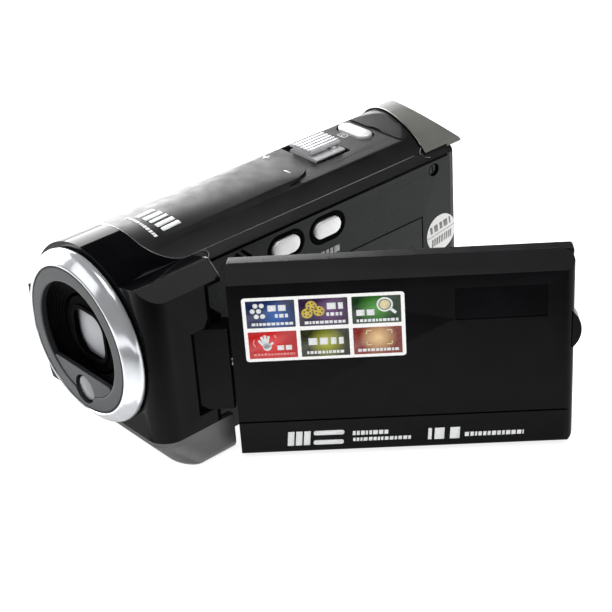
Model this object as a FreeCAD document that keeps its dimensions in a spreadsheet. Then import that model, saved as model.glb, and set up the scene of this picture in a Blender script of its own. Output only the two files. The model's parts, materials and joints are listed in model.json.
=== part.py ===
"""A pocket camcorder with a swing-out screen, built as its separate moulded and metal pieces.

Frame: +Z is up, the lens looks along -Y, the screen is on the +X side, and the origin is the mouth of
the tripod socket, on the underside, straight below the lens axis. Sizes are in millimetres and degrees.
"""
import FreeCAD, Part
import math
import os
import re
import Sketcher
from FreeCAD import Placement, Rotation, Vector

SIZES = {
    "lens_z": (33.4, "height of the lens axis"),
    "barrel_rad": (24.2, "outer radius of the round top of the body"),
    "wall": (1.8, "thickness of the casing walls"),
    "front_y": (-58.0, "front plane of the lens trim"),
    "ring_rad": (23.7, "outer radius of the chrome ring"),
    "ring_back": (-54.0, "back of the chrome ring"),
    "trim_rad": (19.3, "outer radius of the flat trim ring"),
    "mouth_rad": (15.4, "radius of the lens mouth"),
    "plate_top": (24.6, "straight top edge of the plate in the lens mouth"),
    "window_z": (19.2, "middle of the recording lamp's window"),
    "window_rad": (3.4, "radius of the recording lamp's window"),
    "frame_y": (-54.3, "front of the square frame before the glass"),
    "frame_half": (7.3, "half width of that square frame"),
    "glass_y": (-52.95, "crown of the front glass"),
    "glass_rad": (8.6, "radius of the front glass"),
    "throat_y": (-30.6, "back end of the lens barrel"),
    "throat_rad": (6.4, "radius of the rear lens"),
    "housing_y": (-53.6, "front of the front housing"),
    "corner_rad": (6.0, "round left front corner of the housing, seen from above"),
    "chin_rad": (9.5, "round corners of the chin at the underside"),
    "housing_end": (-31.7, "back of the front housing"),
    "side_x": (25.5, "left side of the housing and of the closed screen"),
    "shelf_x": (21.3, "inner edge of the housing's sloping shoulder"),
    "shelf_low": (49.7, "outer edge height of the sloping shoulder"),
    "shelf_high": (53.4, "inner edge height of the sloping shoulder"),
    "flank_x": (23.4, "where the round top meets the right flank"),
    "flank_rad": (45.0, "bulge radius of the right flank"),
    "flank_foot": (22.8, "half width at the foot of the right flank"),
    "seam_z": (11.0, "seam between the upper casing and the base cover"),
    "foot_x": (-13.0, "where the flat underside begins to turn up on the right"),
    "foot_rad": (11.5, "radius of that turn"),
    "edge_x": (15.2, "left edge of the top cover"),
    "cover_front": (-41.7, "front edge of the top cover"),
    "rail_x": (17.2, "outer face of the left side wall and its rail"),
    "rail_low": (50.0, "top of the left side wall"),
    "side_wall": (1.6, "thickness of the left side wall"),
    "rear_y": (54.1, "seam between the side walls and the rear cover"),
    "rear_back": (55.9, "back face of the rear cover"),
    "cap_rad": (24.9, "outer radius of the rear cap"),
    "cap_back": (59.3, "tip of the rear cap"),
    "cap_left": (16.2, "left corner of the rear cap"),
    "cap_front": (46.2, "front edge of the rear cap, at its left corner"),
    "deck_z": (55.3, "flat deck that carries the zoom lever"),
    "deck_wall": (53.5, "underside of the deck"),
    "deck_rear": (43.0, "back end of the deck"),
    "nose_x": (-3.0, "centre of the round nose in front of the deck"),
    "nose_y": (4.5, "centre of the round nose in front of the deck"),
    "nose_rad": (12.2, "radius of that round nose"),
    "nose_start": (-7.0, "where the nose begins to slope down to the deck"),
    "nose_fall": (0.087, "how steeply the nose slopes"),
    "chin_y": (-44.2, "where the sloping chin meets the base"),
    "base_wall": (2.0, "thickness of the base cover's floor"),
    "slide_gap": (0.3, "clearance around buttons and sliding pieces"),
    "lever_x": (-2.9, "middle of the zoom lever"),
    "lever_y": (24.0, "middle of the zoom lever"),
    "lever_pin_z": (46.0, "height of the zoom lever's axle"),
    "lever_span": (9.2, "size of the zoom lever across the body"),
    "lever_long": (10.2, "size of the zoom lever along the body"),
    "slot_span": (15.4, "zoom slot across the body"),
    "slot_long": (11.8, "zoom slot along the body"),
    "photo_x": (-3.2, "middle of the photo button"),
    "photo_y": (38.8, "middle of the photo button"),
    "photo_long": (11.4, "length of the photo button"),
    "photo_wide": (4.4, "width of the photo button"),
    "photo_gap": (0.6, "dark gap left round the photo button"),
    "key_long": (9.0, "length of the side buttons"),
    "key_wide": (4.8, "width of the side buttons"),
    "key_gap": (0.55, "dark gap around the side buttons"),
    "key_z": (44.3, "height of the side buttons"),
    "menu_y": (-4.3, "middle of the front side button"),
    "display_y": (9.6, "middle of the rear side button"),
    "door_front": (-10.0, "front edge of the battery door"),
    "door_back": (43.2, "back edge of the battery door"),
    "door_top": (34.4, "top edge of the battery door"),
    "door_foot": (3.4, "bottom edge of the battery door"),
    "bay_x": (6.8, "inner side of the battery bay"),
    "record_x": (-5.0, "middle of the record button"),
    "record_z": (30.0, "middle of the record button"),
    "record_rad": (6.0, "radius of the record button"),
    "mode_x": (8.0, "middle of the mode and power buttons"),
    "mode_z": (39.0, "height of the mode button"),
    "power_z": (24.0, "height of the power button"),
    "label_y": (50.3, "middle of the round label"),
    "label_z": (27.3, "middle of the round label"),
    "hinge_x": (24.2, "screen hinge axis"),
    "hinge_y": (-37.8, "screen hinge axis"),
    "pin_rad": (0.75, "hinge pin"),
    "pin_play": (0.05, "running clearance round the pins"),
    "notch_front": (-41.8, "front edge of the hinge notch"),
    "notch_low": (15.0, "bottom of the hinge notch"),
    "notch_high": (38.3, "top of the hinge notch"),
    "panel_open": (42.0, "how far the screen stands open, from closed"),
    "panel_near": (-30.8, "hinge end of the screen panel, when closed"),
    "panel_long": (82.0, "length of the screen panel"),
    "panel_low": (1.4, "bottom of the screen panel"),
    "panel_high": (53.4, "top of the screen panel"),
    "panel_split": (21.2, "seam between the panel's shell and its bezel"),
    "panel_inner": (18.0, "inner face of the closed panel"),
    "panel_skin": (1.4, "wall of the screen panel"),
    "screen_long": (57.6, "length of the screen window"),
    "screen_high": (43.6, "height of the screen window"),
    "screen_near": (-19.0, "hinge end of the screen window, when closed"),
    "socket_rad": (3.175, "quarter-inch tripod socket"),
    "socket_deep": (6.0, "depth of the tripod socket"),
    "speaker_y": (-18.5, "middle of the speaker"),
    "speaker_z": (44.6, "middle of the speaker"),
    "speaker_rad": (4.2, "radius of the field of speaker slots"),
    "side_screw_y": (48.2, "casing screw in the left side"),
    "side_screw_z": (46.9, "casing screw in the left side"),
    "lamp_z": (31.5, "height of the status lamp"),
    "port_z": (12.4, "height of the rear sockets"),
    "usb_x": (-7.0, "middle of the USB socket"),
    "av_x": (7.5, "middle of the picture and sound socket"),
    "tab_rad": (6.85, "radius of the thumb tab at the panel's free end"),
    "tab_z": (33.2, "height of the thumb tab"),
    "pivot_rad": (1.2, "panel's turning shaft"),
    "pivot_x": (22.65, "panel's turning shaft, when closed"),
    "pivot_z": (27.4, "panel's turning shaft, half way up the panel"),
    "screw_rad": (0.9, "shank of the casing screws"),
    "head_rad": (1.6, "head of the casing screws"),
}

doc = FreeCAD.newDocument("camcorder")
sheet = doc.addObject("Spreadsheet::Sheet", "Sizes")
for row, (alias, (size, meaning)) in enumerate(SIZES.items(), 1):
    sheet.set(f"A{row}", meaning)
    sheet.set(f"B{row}", str(size))
    sheet.setAlias(f"B{row}", alias)
doc.recompute()

pieces = []
base_screws = [("10", "-24"), ("-9", "-24"), ("10", "48"), ("-9", "48")]


# ---- expressions -------------------------------------------------------------------------------

def link(expression):
    """An expression whose size names point at the sheet."""
    return re.sub(r"[A-Za-z_]\w*", lambda m: "Sizes." + m[0] if m[0] in SIZES else m[0], str(expression))


def value(expression):
    """The number that an expression gives now."""
    result = sheet.evalExpression(link(expression))
    return float(getattr(result, "Value", result))


def minus(expression):
    return f"-({expression})"


def on_circle(radius, offset):
    """Height of a circle about the lens axis at a sideways offset."""
    return f"lens_z + sqrt(({radius}) * ({radius}) - ({offset}) * ({offset}))"


# ---- sketches ----------------------------------------------------------------------------------

def dimension(sketch, kind, geometry, spot, expression):
    """A driving dimension, from the sketch origin when it is a distance, bound to the sheet."""
    if kind == "Radius":
        constraint = Sketcher.Constraint(kind, geometry, value(expression))
    else:
        constraint = Sketcher.Constraint(kind, -1, 1, geometry, spot, value(expression))
    index = sketch.addConstraint(constraint)
    sketch.setExpression(f"Constraints[{index}]", link(expression))


def pin_down(sketch, geometry, spot, across, up):
    dimension(sketch, "DistanceX", geometry, spot, across)
    dimension(sketch, "DistanceY", geometry, spot, up)


def arc_between(start, end, radius, turn):
    """The short arc between two points: turn is 1 for anticlockwise travel and -1 for clockwise."""
    chord = end - start
    half = chord.Length / 2
    left = Vector(-chord.y, chord.x, 0).normalize()
    centre = (start + end) / 2 + left * turn * math.sqrt(radius ** 2 - half ** 2)
    first, last = (start, end) if turn > 0 else (end, start)
    angles = [math.atan2(point.y - centre.y, point.x - centre.x) for point in (first, last)]
    return Part.ArcOfCircle(Part.Circle(centre, Vector(0, 0, 1), radius), *angles)


def outline(*corners):
    """A closed outline. A corner is (across, up), or (across, up, radius, turn) when an arc reaches it."""
    def draw(sketch):
        spots = [Vector(value(corner[0]), value(corner[1]), 0) for corner in corners]
        first = sketch.GeometryCount
        ends = []
        for index, corner in enumerate(corners):
            start, end = spots[index - 1], spots[index]
            if len(corner) == 2:
                sketch.addGeometry(Part.LineSegment(start, end))
                ends.append((1, 2))
                continue
            turn = corner[3]
            sketch.addGeometry(arc_between(start, end, value(corner[2]), turn))
            ends.append((1, 2) if turn > 0 else (2, 1))
        for index, corner in enumerate(corners):
            following = (index + 1) % len(corners)
            joint = (first + index, ends[index][1], first + following, ends[following][0])
            sketch.addConstraint(Sketcher.Constraint("Coincident", *joint))
            pin_down(sketch, first + index, ends[index][1], corner[0], corner[1])
            if len(corner) == 4:
                dimension(sketch, "Radius", first + index, 0, corner[2])
    return draw


def rectangle(left, right, low, high, corner=None):
    """A rectangle, with round corners when a corner radius is given."""
    if corner is None:
        return outline((left, low), (right, low), (right, high), (left, high))
    near, far = f"{left} + {corner}", f"{right} - ({corner})"
    under, over = f"{low} + {corner}", f"{high} - ({corner})"
    return outline((near, low, corner, 1), (far, low), (right, under, corner, 1), (right, over),
                   (far, high, corner, 1), (near, high), (left, over, corner, 1), (left, under))


def disc(across, up, radius):
    def draw(sketch):
        centre = Vector(value(across), value(up), 0)
        index = sketch.addGeometry(Part.Circle(centre, Vector(0, 0, 1), value(radius)))
        pin_down(sketch, index, 3, across, up)
        dimension(sketch, "Radius", index, 0, radius)
    return draw


def stadium(across, up, length, width):
    """A slot with round ends, its length across the sketch."""
    def draw(sketch):
        radius = f"({width}) / 2"
        reach = f"(({length}) - ({width})) / 2"
        ends = []
        for side, begin in ((-1, math.pi / 2), (1, -math.pi / 2)):
            middle = f"{across} + ({side}) * {reach}"
            circle = Part.Circle(Vector(value(middle), value(up), 0), Vector(0, 0, 1), value(radius))
            index = sketch.addGeometry(Part.ArcOfCircle(circle, begin, begin + math.pi))
            pin_down(sketch, index, 3, middle, up)
            dimension(sketch, "Radius", index, 0, radius)
            for spot in (1, 2):
                dimension(sketch, "DistanceX", index, spot, middle)
            ends.append(index)
        for from_end, to_end in (ends, ends[::-1]):
            start = sketch.getPoint(from_end, 2)
            stop = sketch.getPoint(to_end, 1)
            index = sketch.addGeometry(Part.LineSegment(start, stop))
            sketch.addConstraint(Sketcher.Constraint("Coincident", index, 1, from_end, 2))
            sketch.addConstraint(Sketcher.Constraint("Coincident", index, 2, to_end, 1))
    return draw


def new_sketch(body, plane, offset, loops):
    sketch = body.newObject("Sketcher::SketchObject", body.Name + "_sketch")
    support = [item for item in body.Origin.OriginFeatures if item.Role == plane][0]
    sketch.AttachmentSupport = [(support, "")]
    sketch.MapMode = "FlatFace"
    sketch.setExpression("AttachmentOffset.Base.z", link(offset))
    for draw in loops:
        draw(sketch)
    return sketch


# ---- bodies ------------------------------------------------------------------------------------

def pad(body, plane, offset, length, *loops):
    feature = body.newObject("PartDesign::Pad", body.Name + "_pad")
    feature.Profile = new_sketch(body, plane, offset, loops)
    feature.setExpression("Length", link(length))


def pocket(body, plane, offset, length, *loops, flip=False):
    """Cuts from its plane against the plane's normal, or along it when flipped."""
    doc.recompute()
    before = body.Shape.Volume
    feature = body.newObject("PartDesign::Pocket", body.Name + "_pocket")
    feature.Profile = new_sketch(body, plane, offset, loops)
    feature.Reversed = flip
    feature.setExpression("Length", link(length))
    doc.recompute()
    if not body.Shape.Volume < before:
        raise ValueError(f"{feature.Name} cuts nothing")


def along_x(name, left, right, *loops):
    """A body padded along X from one value to another, drawn in Y and Z."""
    body = doc.addObject("PartDesign::Body", name)
    pad(body, "YZ_Plane", left, f"({right}) - ({left})", *loops)
    return body


def along_y(name, front, back, *loops):
    """A body padded along Y between two values, drawn in X and Z."""
    body = doc.addObject("PartDesign::Body", name)
    pad(body, "XZ_Plane", minus(back), f"({back}) - ({front})", *loops)
    return body


def along_z(name, low, high, *loops):
    """A body padded along Z between two values, drawn in X and Y."""
    body = doc.addObject("PartDesign::Body", name)
    pad(body, "XY_Plane", low, f"({high}) - ({low})", *loops)
    return body


def lofted(name, *levels):
    """A body skinned straight from outline to outline, each at its own height."""
    body = doc.addObject("PartDesign::Body", name)
    sketches = [new_sketch(body, "XY_Plane", height, [draw]) for height, draw in levels]
    feature = body.newObject("PartDesign::AdditiveLoft", name + "_loft")
    feature.Profile = sketches[0]
    feature.Sections = sketches[1:]
    feature.Ruled = True
    return body


def turned(name, *corners):
    """A body turned about the lens axis, drawn as places along Y and radii."""
    body = doc.addObject("PartDesign::Body", name)
    sketch = new_sketch(body, "YZ_Plane", 0, [outline(*corners)])
    sketch.setExpression("AttachmentOffset.Base.y", link("lens_z"))
    feature = body.newObject("PartDesign::Revolution", name + "_turn")
    feature.Profile = sketch
    feature.ReferenceAxis = (sketch, ["H_Axis"])
    feature.Angle = 360
    return body


def lies_at(edge, **places):
    """Whether an edge lies wholly at the given x, y or z."""
    box = edge.BoundBox
    reach = {"x": (box.XMin, box.XMax), "y": (box.YMin, box.YMax), "z": (box.ZMin, box.ZMax)}
    return all(abs(end - place) < 0.01 for axis, place in places.items() for end in reach[axis])


def round_off(body, radius, *places):
    """Rounds every edge that lies at one of the given places."""
    doc.recompute()
    base = body.Tip
    spots = [{axis: value(expression) for axis, expression in place.items()} for place in places]
    edges = [f"Edge{number}" for number, edge in enumerate(base.Shape.Edges, 1)
             if any(lies_at(edge, **spot) for spot in spots)]
    feature = body.newObject("PartDesign::Fillet", body.Name + "_round")
    feature.Base = (base, edges)
    feature.setExpression("Radius", link(radius))


def box(name, left, right, front, back, low, high):
    block = doc.addObject("Part::Box", name)
    ends = (("Length", "x", left, right), ("Width", "y", front, back), ("Height", "z", low, high))
    for size, axis, start, stop in ends:
        block.setExpression(size, link(f"({stop}) - ({start})"))
        block.setExpression("Placement.Base." + axis, link(start))
    return block


def rod(name, direction, start, radius, length):
    """A cylinder from a start point along X, Y or Z."""
    turns = {"x": Rotation(Vector(0, 1, 0), 90), "y": Rotation(Vector(1, 0, 0), -90), "z": Rotation()}
    cylinder = doc.addObject("Part::Cylinder", name)
    cylinder.setExpression("Radius", link(radius))
    cylinder.setExpression("Height", link(length))
    cylinder.Placement = Placement(Vector(), turns[direction])
    for axis, expression in zip("xyz", start):
        cylinder.setExpression("Placement.Base." + axis, link(expression))
    return cylinder


def fuse(name, *shapes):
    joined = doc.addObject("Part::MultiFuse", name)
    joined.Shapes = list(shapes)
    return joined


def cut(name, base, *tools):
    result = doc.addObject("Part::Cut", name)
    result.Base = base
    result.Tool = tools[0] if len(tools) == 1 else fuse(name + "_tools", *tools)
    return result


def common(name, *shapes):
    result = doc.addObject("Part::MultiCommon", name)
    result.Shapes = list(shapes)
    return result


def compound(name, shapes):
    group = doc.addObject("Part::Compound", name)
    group.Links = shapes
    return group


def keep(name, thing):
    """Marks a sub-part for its own file."""
    thing.Label = name
    pieces.append(thing)
    return thing


def swing(thing):
    """Turns a closed screen piece about the hinge, to where the screen stands open."""
    axis = Vector(value("hinge_x"), value("hinge_y"), 0)
    turn = Rotation(Vector(0, 0, 1), -value("panel_open"))
    thing.Placement = Placement(Vector(), turn, axis).multiply(thing.Placement)
    return thing


# ---- lens group --------------------------------------------------------------------------------

def chrome_ring():
    ring = turned("chrome_ring_body", ("front_y - 0.2", "trim_rad + 0.5"), ("front_y + 2.3", "ring_rad"),
                  ("ring_back", "ring_rad - 0.2"), ("ring_back", "ring_rad - 2.6"),
                  ("front_y + 1.9", "trim_rad + 0.1"), ("front_y + 0.1", "trim_rad + 0.1"))
    return keep("chrome_ring", ring)


def window_hole(name):
    """The round hole of the recording lamp, which takes in the plate and a little of the trim ring."""
    return rod(name, "y", ("0", "front_y - 1", "window_z"), "window_rad + 0.5", "4")


def trim_ring():
    ring = turned("trim_ring_body", ("front_y", "mouth_rad + 0.3"), ("front_y", "trim_rad - 0.2"),
                  ("front_y + 0.2", "trim_rad"), ("front_y + 1.6", "trim_rad"),
                  ("front_y + 1.6", "mouth_rad"), ("front_y + 0.3", "mouth_rad"))
    return keep("trim_ring", cut("trim_ring_all", ring, window_hole("ring_window_hole")))


def lens_well():
    """The dark funnel of shallow steps that leads in to the lens."""
    wide, narrow, steps, rise = "mouth_rad - 0.1", "glass_rad + 1.8", 4, 0.7
    inner = []
    for step in range(steps):
        depth = f"front_y + 1.6 + {step} * {rise}"
        radius = f"({wide}) - {step} * (({wide}) - ({narrow})) / {steps}"
        inner += [(depth, radius), (f"{depth} + {rise}", f"({radius}) - 0.2")]
    back = f"front_y + 1.6 + {steps} * {rise}"
    outer = [(back, "glass_rad + 2.6"), ("housing_y + 1", "ring_rad - 2.7"), ("ring_back", "ring_rad - 2.7"),
             ("front_y + 1.9", "trim_rad"), ("front_y + 1.6", "trim_rad")]
    return keep("lens_well", turned("lens_well_body", *inner, (back, narrow), *outer))


def sensor_plate():
    """The flat D-shaped plate that closes the bottom of the lens mouth, with a round hole."""
    drop, radius = "(lens_z - plate_top)", "mouth_rad - 0.05"
    reach = f"sqrt(({radius}) * ({radius}) - {drop} * {drop})"
    plate = along_y("sensor_plate_body", "front_y", "front_y + 1.5",
                    outline((f"-{reach}", "plate_top"), ("0", f"lens_z - ({radius})", radius, 1),
                            (reach, "plate_top", radius, 1)))
    return keep("sensor_plate", cut("sensor_plate_all", plate, window_hole("plate_window_hole")))


def lamp_window():
    """The round window of the recording lamp, slightly domed."""
    window = along_y("lamp_window_body", "front_y + 0.8", "front_y + 1.55",
                     disc("0", "window_z", "window_rad"))
    round_off(window, "0.4", {"y": "front_y + 0.8"})
    return keep("lamp_window", window)


def lens_frame():
    """The plate in front of the glass, with a raised rounded square frame about its opening."""
    def square(half, corner):
        return rectangle(f"-({half})", half, f"lens_z - ({half})", f"lens_z + {half}", corner)

    opening = square("frame_half - 1.1", "4.2")
    rim = along_y("frame_rim", "frame_y", "frame_y + 0.6", square("frame_half", "5.2"), opening)
    plate = along_y("frame_plate", "frame_y + 0.5", "frame_y + 1.3",
                    disc("0", "lens_z", "glass_rad + 1.6"), opening)
    return keep("lens_frame", fuse("lens_frame_all", rim, plate))


def ball(name, centre, radius):
    """A sphere on the lens axis, for the round faces of the lenses."""
    sphere = doc.addObject("Part::Sphere", name)
    sphere.setExpression("Radius", link(radius))
    sphere.setExpression("Placement.Base.y", link(centre))
    sphere.setExpression("Placement.Base.z", link("lens_z"))
    return sphere


def front_lens():
    """The domed front glass, hollow behind."""
    disc_of_glass = rod("front_glass", "y", ("0", "glass_y - 0.5", "lens_z"), "glass_rad", "2.8")
    dome = common("front_dome", disc_of_glass, ball("front_face", "glass_y + 43", "43"))
    return keep("front_lens", cut("front_lens_all", dome, ball("front_hollow", "glass_y + 1.5 + 47", "47")))


def lens_barrel():
    """The tube that carries the lenses, with a seat for the front glass and a narrow throat."""
    front, seat = "glass_y + 0.2", "glass_y + 2.4"
    tube = turned("lens_barrel_body", (front, "glass_rad + 0.1"), (seat, "glass_rad + 0.1"),
                  (seat, "glass_rad - 1"), ("throat_y", "throat_rad"), ("throat_y", "throat_rad + 1.5"),
                  (f"{seat} + 2.5", "glass_rad + 1.6"), (front, "glass_rad + 1.6"))
    return keep("lens_barrel", tube)


def rear_lens():
    """The last lens, round on both sides, near the back of the barrel."""
    disc_of_glass = rod("rear_glass", "y", ("0", "throat_y - 6", "lens_z"), "throat_rad", "4")
    faces = [ball("rear_lens_front", "throat_y - 5.6 + 21", "21"),
             ball("rear_lens_back", "throat_y - 2.8 - 21", "21")]
    return keep("rear_lens", common("rear_lens_all", disc_of_glass, *faces))


def image_sensor():
    """The image chip on its small board, square behind the lens barrel."""
    board = box("sensor_board", "-9", "9", "throat_y + 0.4", "throat_y + 1.6", "lens_z - 8", "lens_z + 8")
    chip = box("sensor_chip", "-3.4", "3.4", "throat_y - 0.4", "throat_y + 0.4",
               "lens_z - 2.6", "lens_z + 2.6")
    return keep("image_sensor", fuse("image_sensor_all", board, chip))


# ---- casing ------------------------------------------------------------------------------------

def upper_section(inset, left_edge):
    """Outline of the upper casing from a left edge over the round top and down the right flank."""
    radius = f"barrel_rad - {inset}"
    flank = f"flank_x - {inset}"
    return [(left_edge, on_circle(radius, left_edge)),
            (minus(flank), on_circle(radius, flank), radius, 1),
            (minus(f"flank_foot - {inset}"), "seam_z", f"flank_rad - {inset}", 1)]


def housing_section(inset, left, low, shelf_edge, shelf_top):
    """Outline of the front housing: flat left side, sloping shoulder, shallow valley and round top."""
    return outline((left, "seam_z"), (left, low), (shelf_edge, shelf_top), *upper_section(inset, "edge_x"))


def cover_plan(name, clearance):
    """The plan of the top cover, as an upright block: it has one round front corner."""
    edge = f"edge_x + {clearance}"
    return along_z(name, "lens_z + 5.8", "70",
                   outline(("-40", f"cover_front - {clearance}"), ("8.0", f"cover_front - {clearance}"),
                           (edge, f"cover_front + 7.2 - {clearance}", "8.6", 1),
                           (edge, "rear_y + 6"), ("-40", "rear_y + 6")))


def shell_of_revolution_top(name, front, back):
    """The round top as a thin shell between two places along Y, left edge to right flank."""
    outer, inner = "barrel_rad", "barrel_rad - wall"
    left = "edge_x * (barrel_rad - wall) / barrel_rad"
    right = "flank_x * (barrel_rad - wall) / barrel_rad"
    return along_y(name, front, back,
                   outline(("edge_x", on_circle(outer, "edge_x")),
                           ("-flank_x", on_circle(outer, "flank_x"), outer, 1),
                           (minus(right), on_circle(inner, right)),
                           (left, on_circle(inner, left), inner, -1)))


def cap_plan(name, clearance):
    """The plan of the rear cap as an upright block: its front edge sweeps back to the right."""
    return along_z(name, "lens_z - 6", "70",
                   outline(("30", f"cap_front + {clearance}"), ("16", f"cap_front + {clearance}"),
                           ("5", f"cap_front + 1.7 + {clearance}"), ("-12", f"cap_front + 6.1 + {clearance}"),
                           ("-30", f"cap_front + 10.8 + {clearance}"), ("-30", "80"), ("30", "80")))


def deck_hollow():
    """What is cut away above the deck: everything behind the round nose."""
    hollow = along_z("deck_hollow", "deck_z", "70", rectangle("-14", "14", "nose_y", "deck_rear"))
    nose = rod("deck_nose", "z", ("nose_x", "nose_y", "deck_z - 1"), "nose_rad", "20")
    ramp = along_x("deck_ramp", "-14", "14",
                   outline(("deck_rear - 1", "deck_z"), ("deck_rear + 8", "deck_z + 3"),
                           ("deck_rear - 1", "70")))
    return cut("deck_space", fuse("deck_and_ramp", hollow, ramp), nose)


def zoom_slot(name, low, high):
    half_span, half_long = "slot_span / 2", "slot_long / 2"
    return along_z(name, low, high,
                   rectangle(f"lever_x - {half_span}", f"lever_x + {half_span}",
                             f"lever_y - {half_long}", f"lever_y + {half_long}", "0.8"))


def top_cover():
    """The round matte top cover, with its deck, zoom slot and photo button hole."""
    shell = shell_of_revolution_top("top_shell", "cover_front", "rear_y")
    opened = cut("top_shell_open", shell, deck_hollow())
    floor = along_y("deck_floor", "nose_y - 4", "rear_y - 6",
                    outline(("11.5", on_circle("barrel_rad - 1", "11.5")), ("9.7", "deck_z"),
                            ("-9.7", "deck_z"), ("-11.5", on_circle("barrel_rad - 1", "11.5")),
                            ("-10.5", "deck_wall"), ("10.5", "deck_wall")))
    slot = zoom_slot("zoom_slot", "deck_wall - 5", "70")
    button_hole = along_z("photo_hole", "deck_wall - 5", "70",
                          stadium("photo_x", "photo_y", "photo_long + 2 * photo_gap",
                                  "photo_wide + 2 * photo_gap"))
    core = rod("nose_core", "z", ("nose_x", "nose_y", "deck_wall"), "nose_rad - 0.4", "6")
    nose = common("nose_fill", core, rod("nose_round", "y", ("0", "nose_y - nose_rad", "lens_z"),
                                         "barrel_rad - 0.5", "2 * nose_rad"))
    slope = along_x("nose_slope", "-14", "14",
                    outline(("nose_start - 6", "lens_z + barrel_rad + 6 * nose_fall"),
                            ("nose_start + 24", "lens_z + barrel_rad - 24 * nose_fall"),
                            ("nose_start + 24", "70"), ("nose_start - 6", "70")))
    whole = cut("top_with_openings", fuse("top_and_deck", opened, floor, nose), slot, button_hole, slope,
                cap_plan("cap_space", "-0.05"))
    return keep("top_cover", common("top_cover_all", whole, cover_plan("cover_plan", "0")))


def housing_plan(name):
    """The plan of the front housing as an upright block: its left front corner is round."""
    return along_z(name, "-1", "70",
                   outline(("-40", "housing_y"), ("side_x - corner_rad", "housing_y"),
                           ("side_x", "housing_y + corner_rad", "corner_rad", 1), ("side_x", "housing_end"),
                           ("-40", "housing_end")))


def front_housing():
    """The glossy front casing round the lens, with the hinge notch in its left side."""
    block = along_y("housing_block", "housing_y", "housing_end",
                    housing_section("0", "side_x", "shelf_low", "shelf_x", "shelf_high"))
    outer = common("housing_outer", block, housing_plan("housing_plan"))
    inner = along_y("housing_inner", "housing_y + wall + 1", "housing_end + 1",
                    outline(("side_x - wall", "seam_z - 1"), ("side_x - wall", "shelf_low - 0.8"),
                            ("shelf_x - 0.7", "shelf_high - wall"), ("edge_x - 0.4", "shelf_high - 3.4"),
                            ("-flank_x + 1.9", on_circle("barrel_rad - 1.9", "flank_x - 1.9"),
                             "barrel_rad - 1.9", 1),
                            ("-flank_foot + wall", "seam_z - 1", "flank_rad - wall", 1)))
    mouth = rod("housing_mouth", "y", ("0", "housing_y - 1", "lens_z"), "ring_rad - 2.5", "6")
    notch = box("hinge_notch", "15", "30", "notch_front", "housing_end + 1", "notch_low", "notch_high")
    step = box("hinge_step", "rail_x", "30", "housing_end - 3.8", "housing_end + 1",
               "seam_z - 1", "shelf_low - 0.9")
    shaft = rod("hinge_shaft_room", "z", ("hinge_x", "hinge_y", "notch_low - 3"), "pin_rad",
                "notch_high - notch_low + 6")
    pocket_wall = cut("hinge_pocket_wall",
                      box("hinge_pocket_out", "13.8", "side_x - 1", "notch_front - 1.2", "housing_end",
                          "notch_low - 1.2", "notch_high + 1.2"), notch)
    back_wall = cut("hinge_back_wall",
                    box("hinge_back_out", "rail_x - 1.4", "side_x - 1", "housing_end - 5", "housing_end",
                        "seam_z", "shelf_low - 0.4"), step, notch)
    lugs = [box(f"hinge_lug_{low}", "side_x - 4.4", "side_x - 1", "hinge_y - 2.6", "hinge_y + 2.2", low, high)
            for low, high in (("notch_low - 3.4", "notch_low"), ("notch_high", "notch_high + 3.4"))]
    skin = cut("housing_skin", outer, inner, notch, step)
    body = fuse("housing_with_lugs", skin, pocket_wall, back_wall, *lugs)
    cover_room = cover_plan("cover_room", "0.05")
    return keep("front_housing", cut("front_housing_all", body, mouth, shaft, cover_room))


def base_section(left):
    """The base cover's curved floor and right side, as a shell of even thickness."""
    return outline((left, "0"), (left, "base_wall"), ("foot_x", "base_wall"),
                   (minus("flank_foot - wall"), "seam_z", "foot_rad + 0.5", -1), ("-flank_foot", "seam_z"),
                   ("foot_x", "0", "foot_rad", 1))


def chin_shape(name, inset):
    """The block that bounds the chin: its front slopes back to the underside, with round corners."""
    def level(front, radius):
        left, right, start = f"side_x - {inset}", f"-flank_foot + {inset}", f"{front} + {inset}"
        bend = f"{radius} - {inset}"
        return outline((f"{right} + ({bend})", start, bend, 1), (f"{left} - ({bend})", start),
                       (left, f"{start} + {bend}", bend, 1), (left, "housing_end"), (right, "housing_end"),
                       (right, f"{start} + {bend}"))

    return lofted(name, ("-1", level("chin_y - 0.9", "chin_rad")),
                  ("seam_z - 1.2", level("housing_y", "corner_rad")),
                  ("seam_z + 1", level("housing_y", "corner_rad")))


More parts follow.
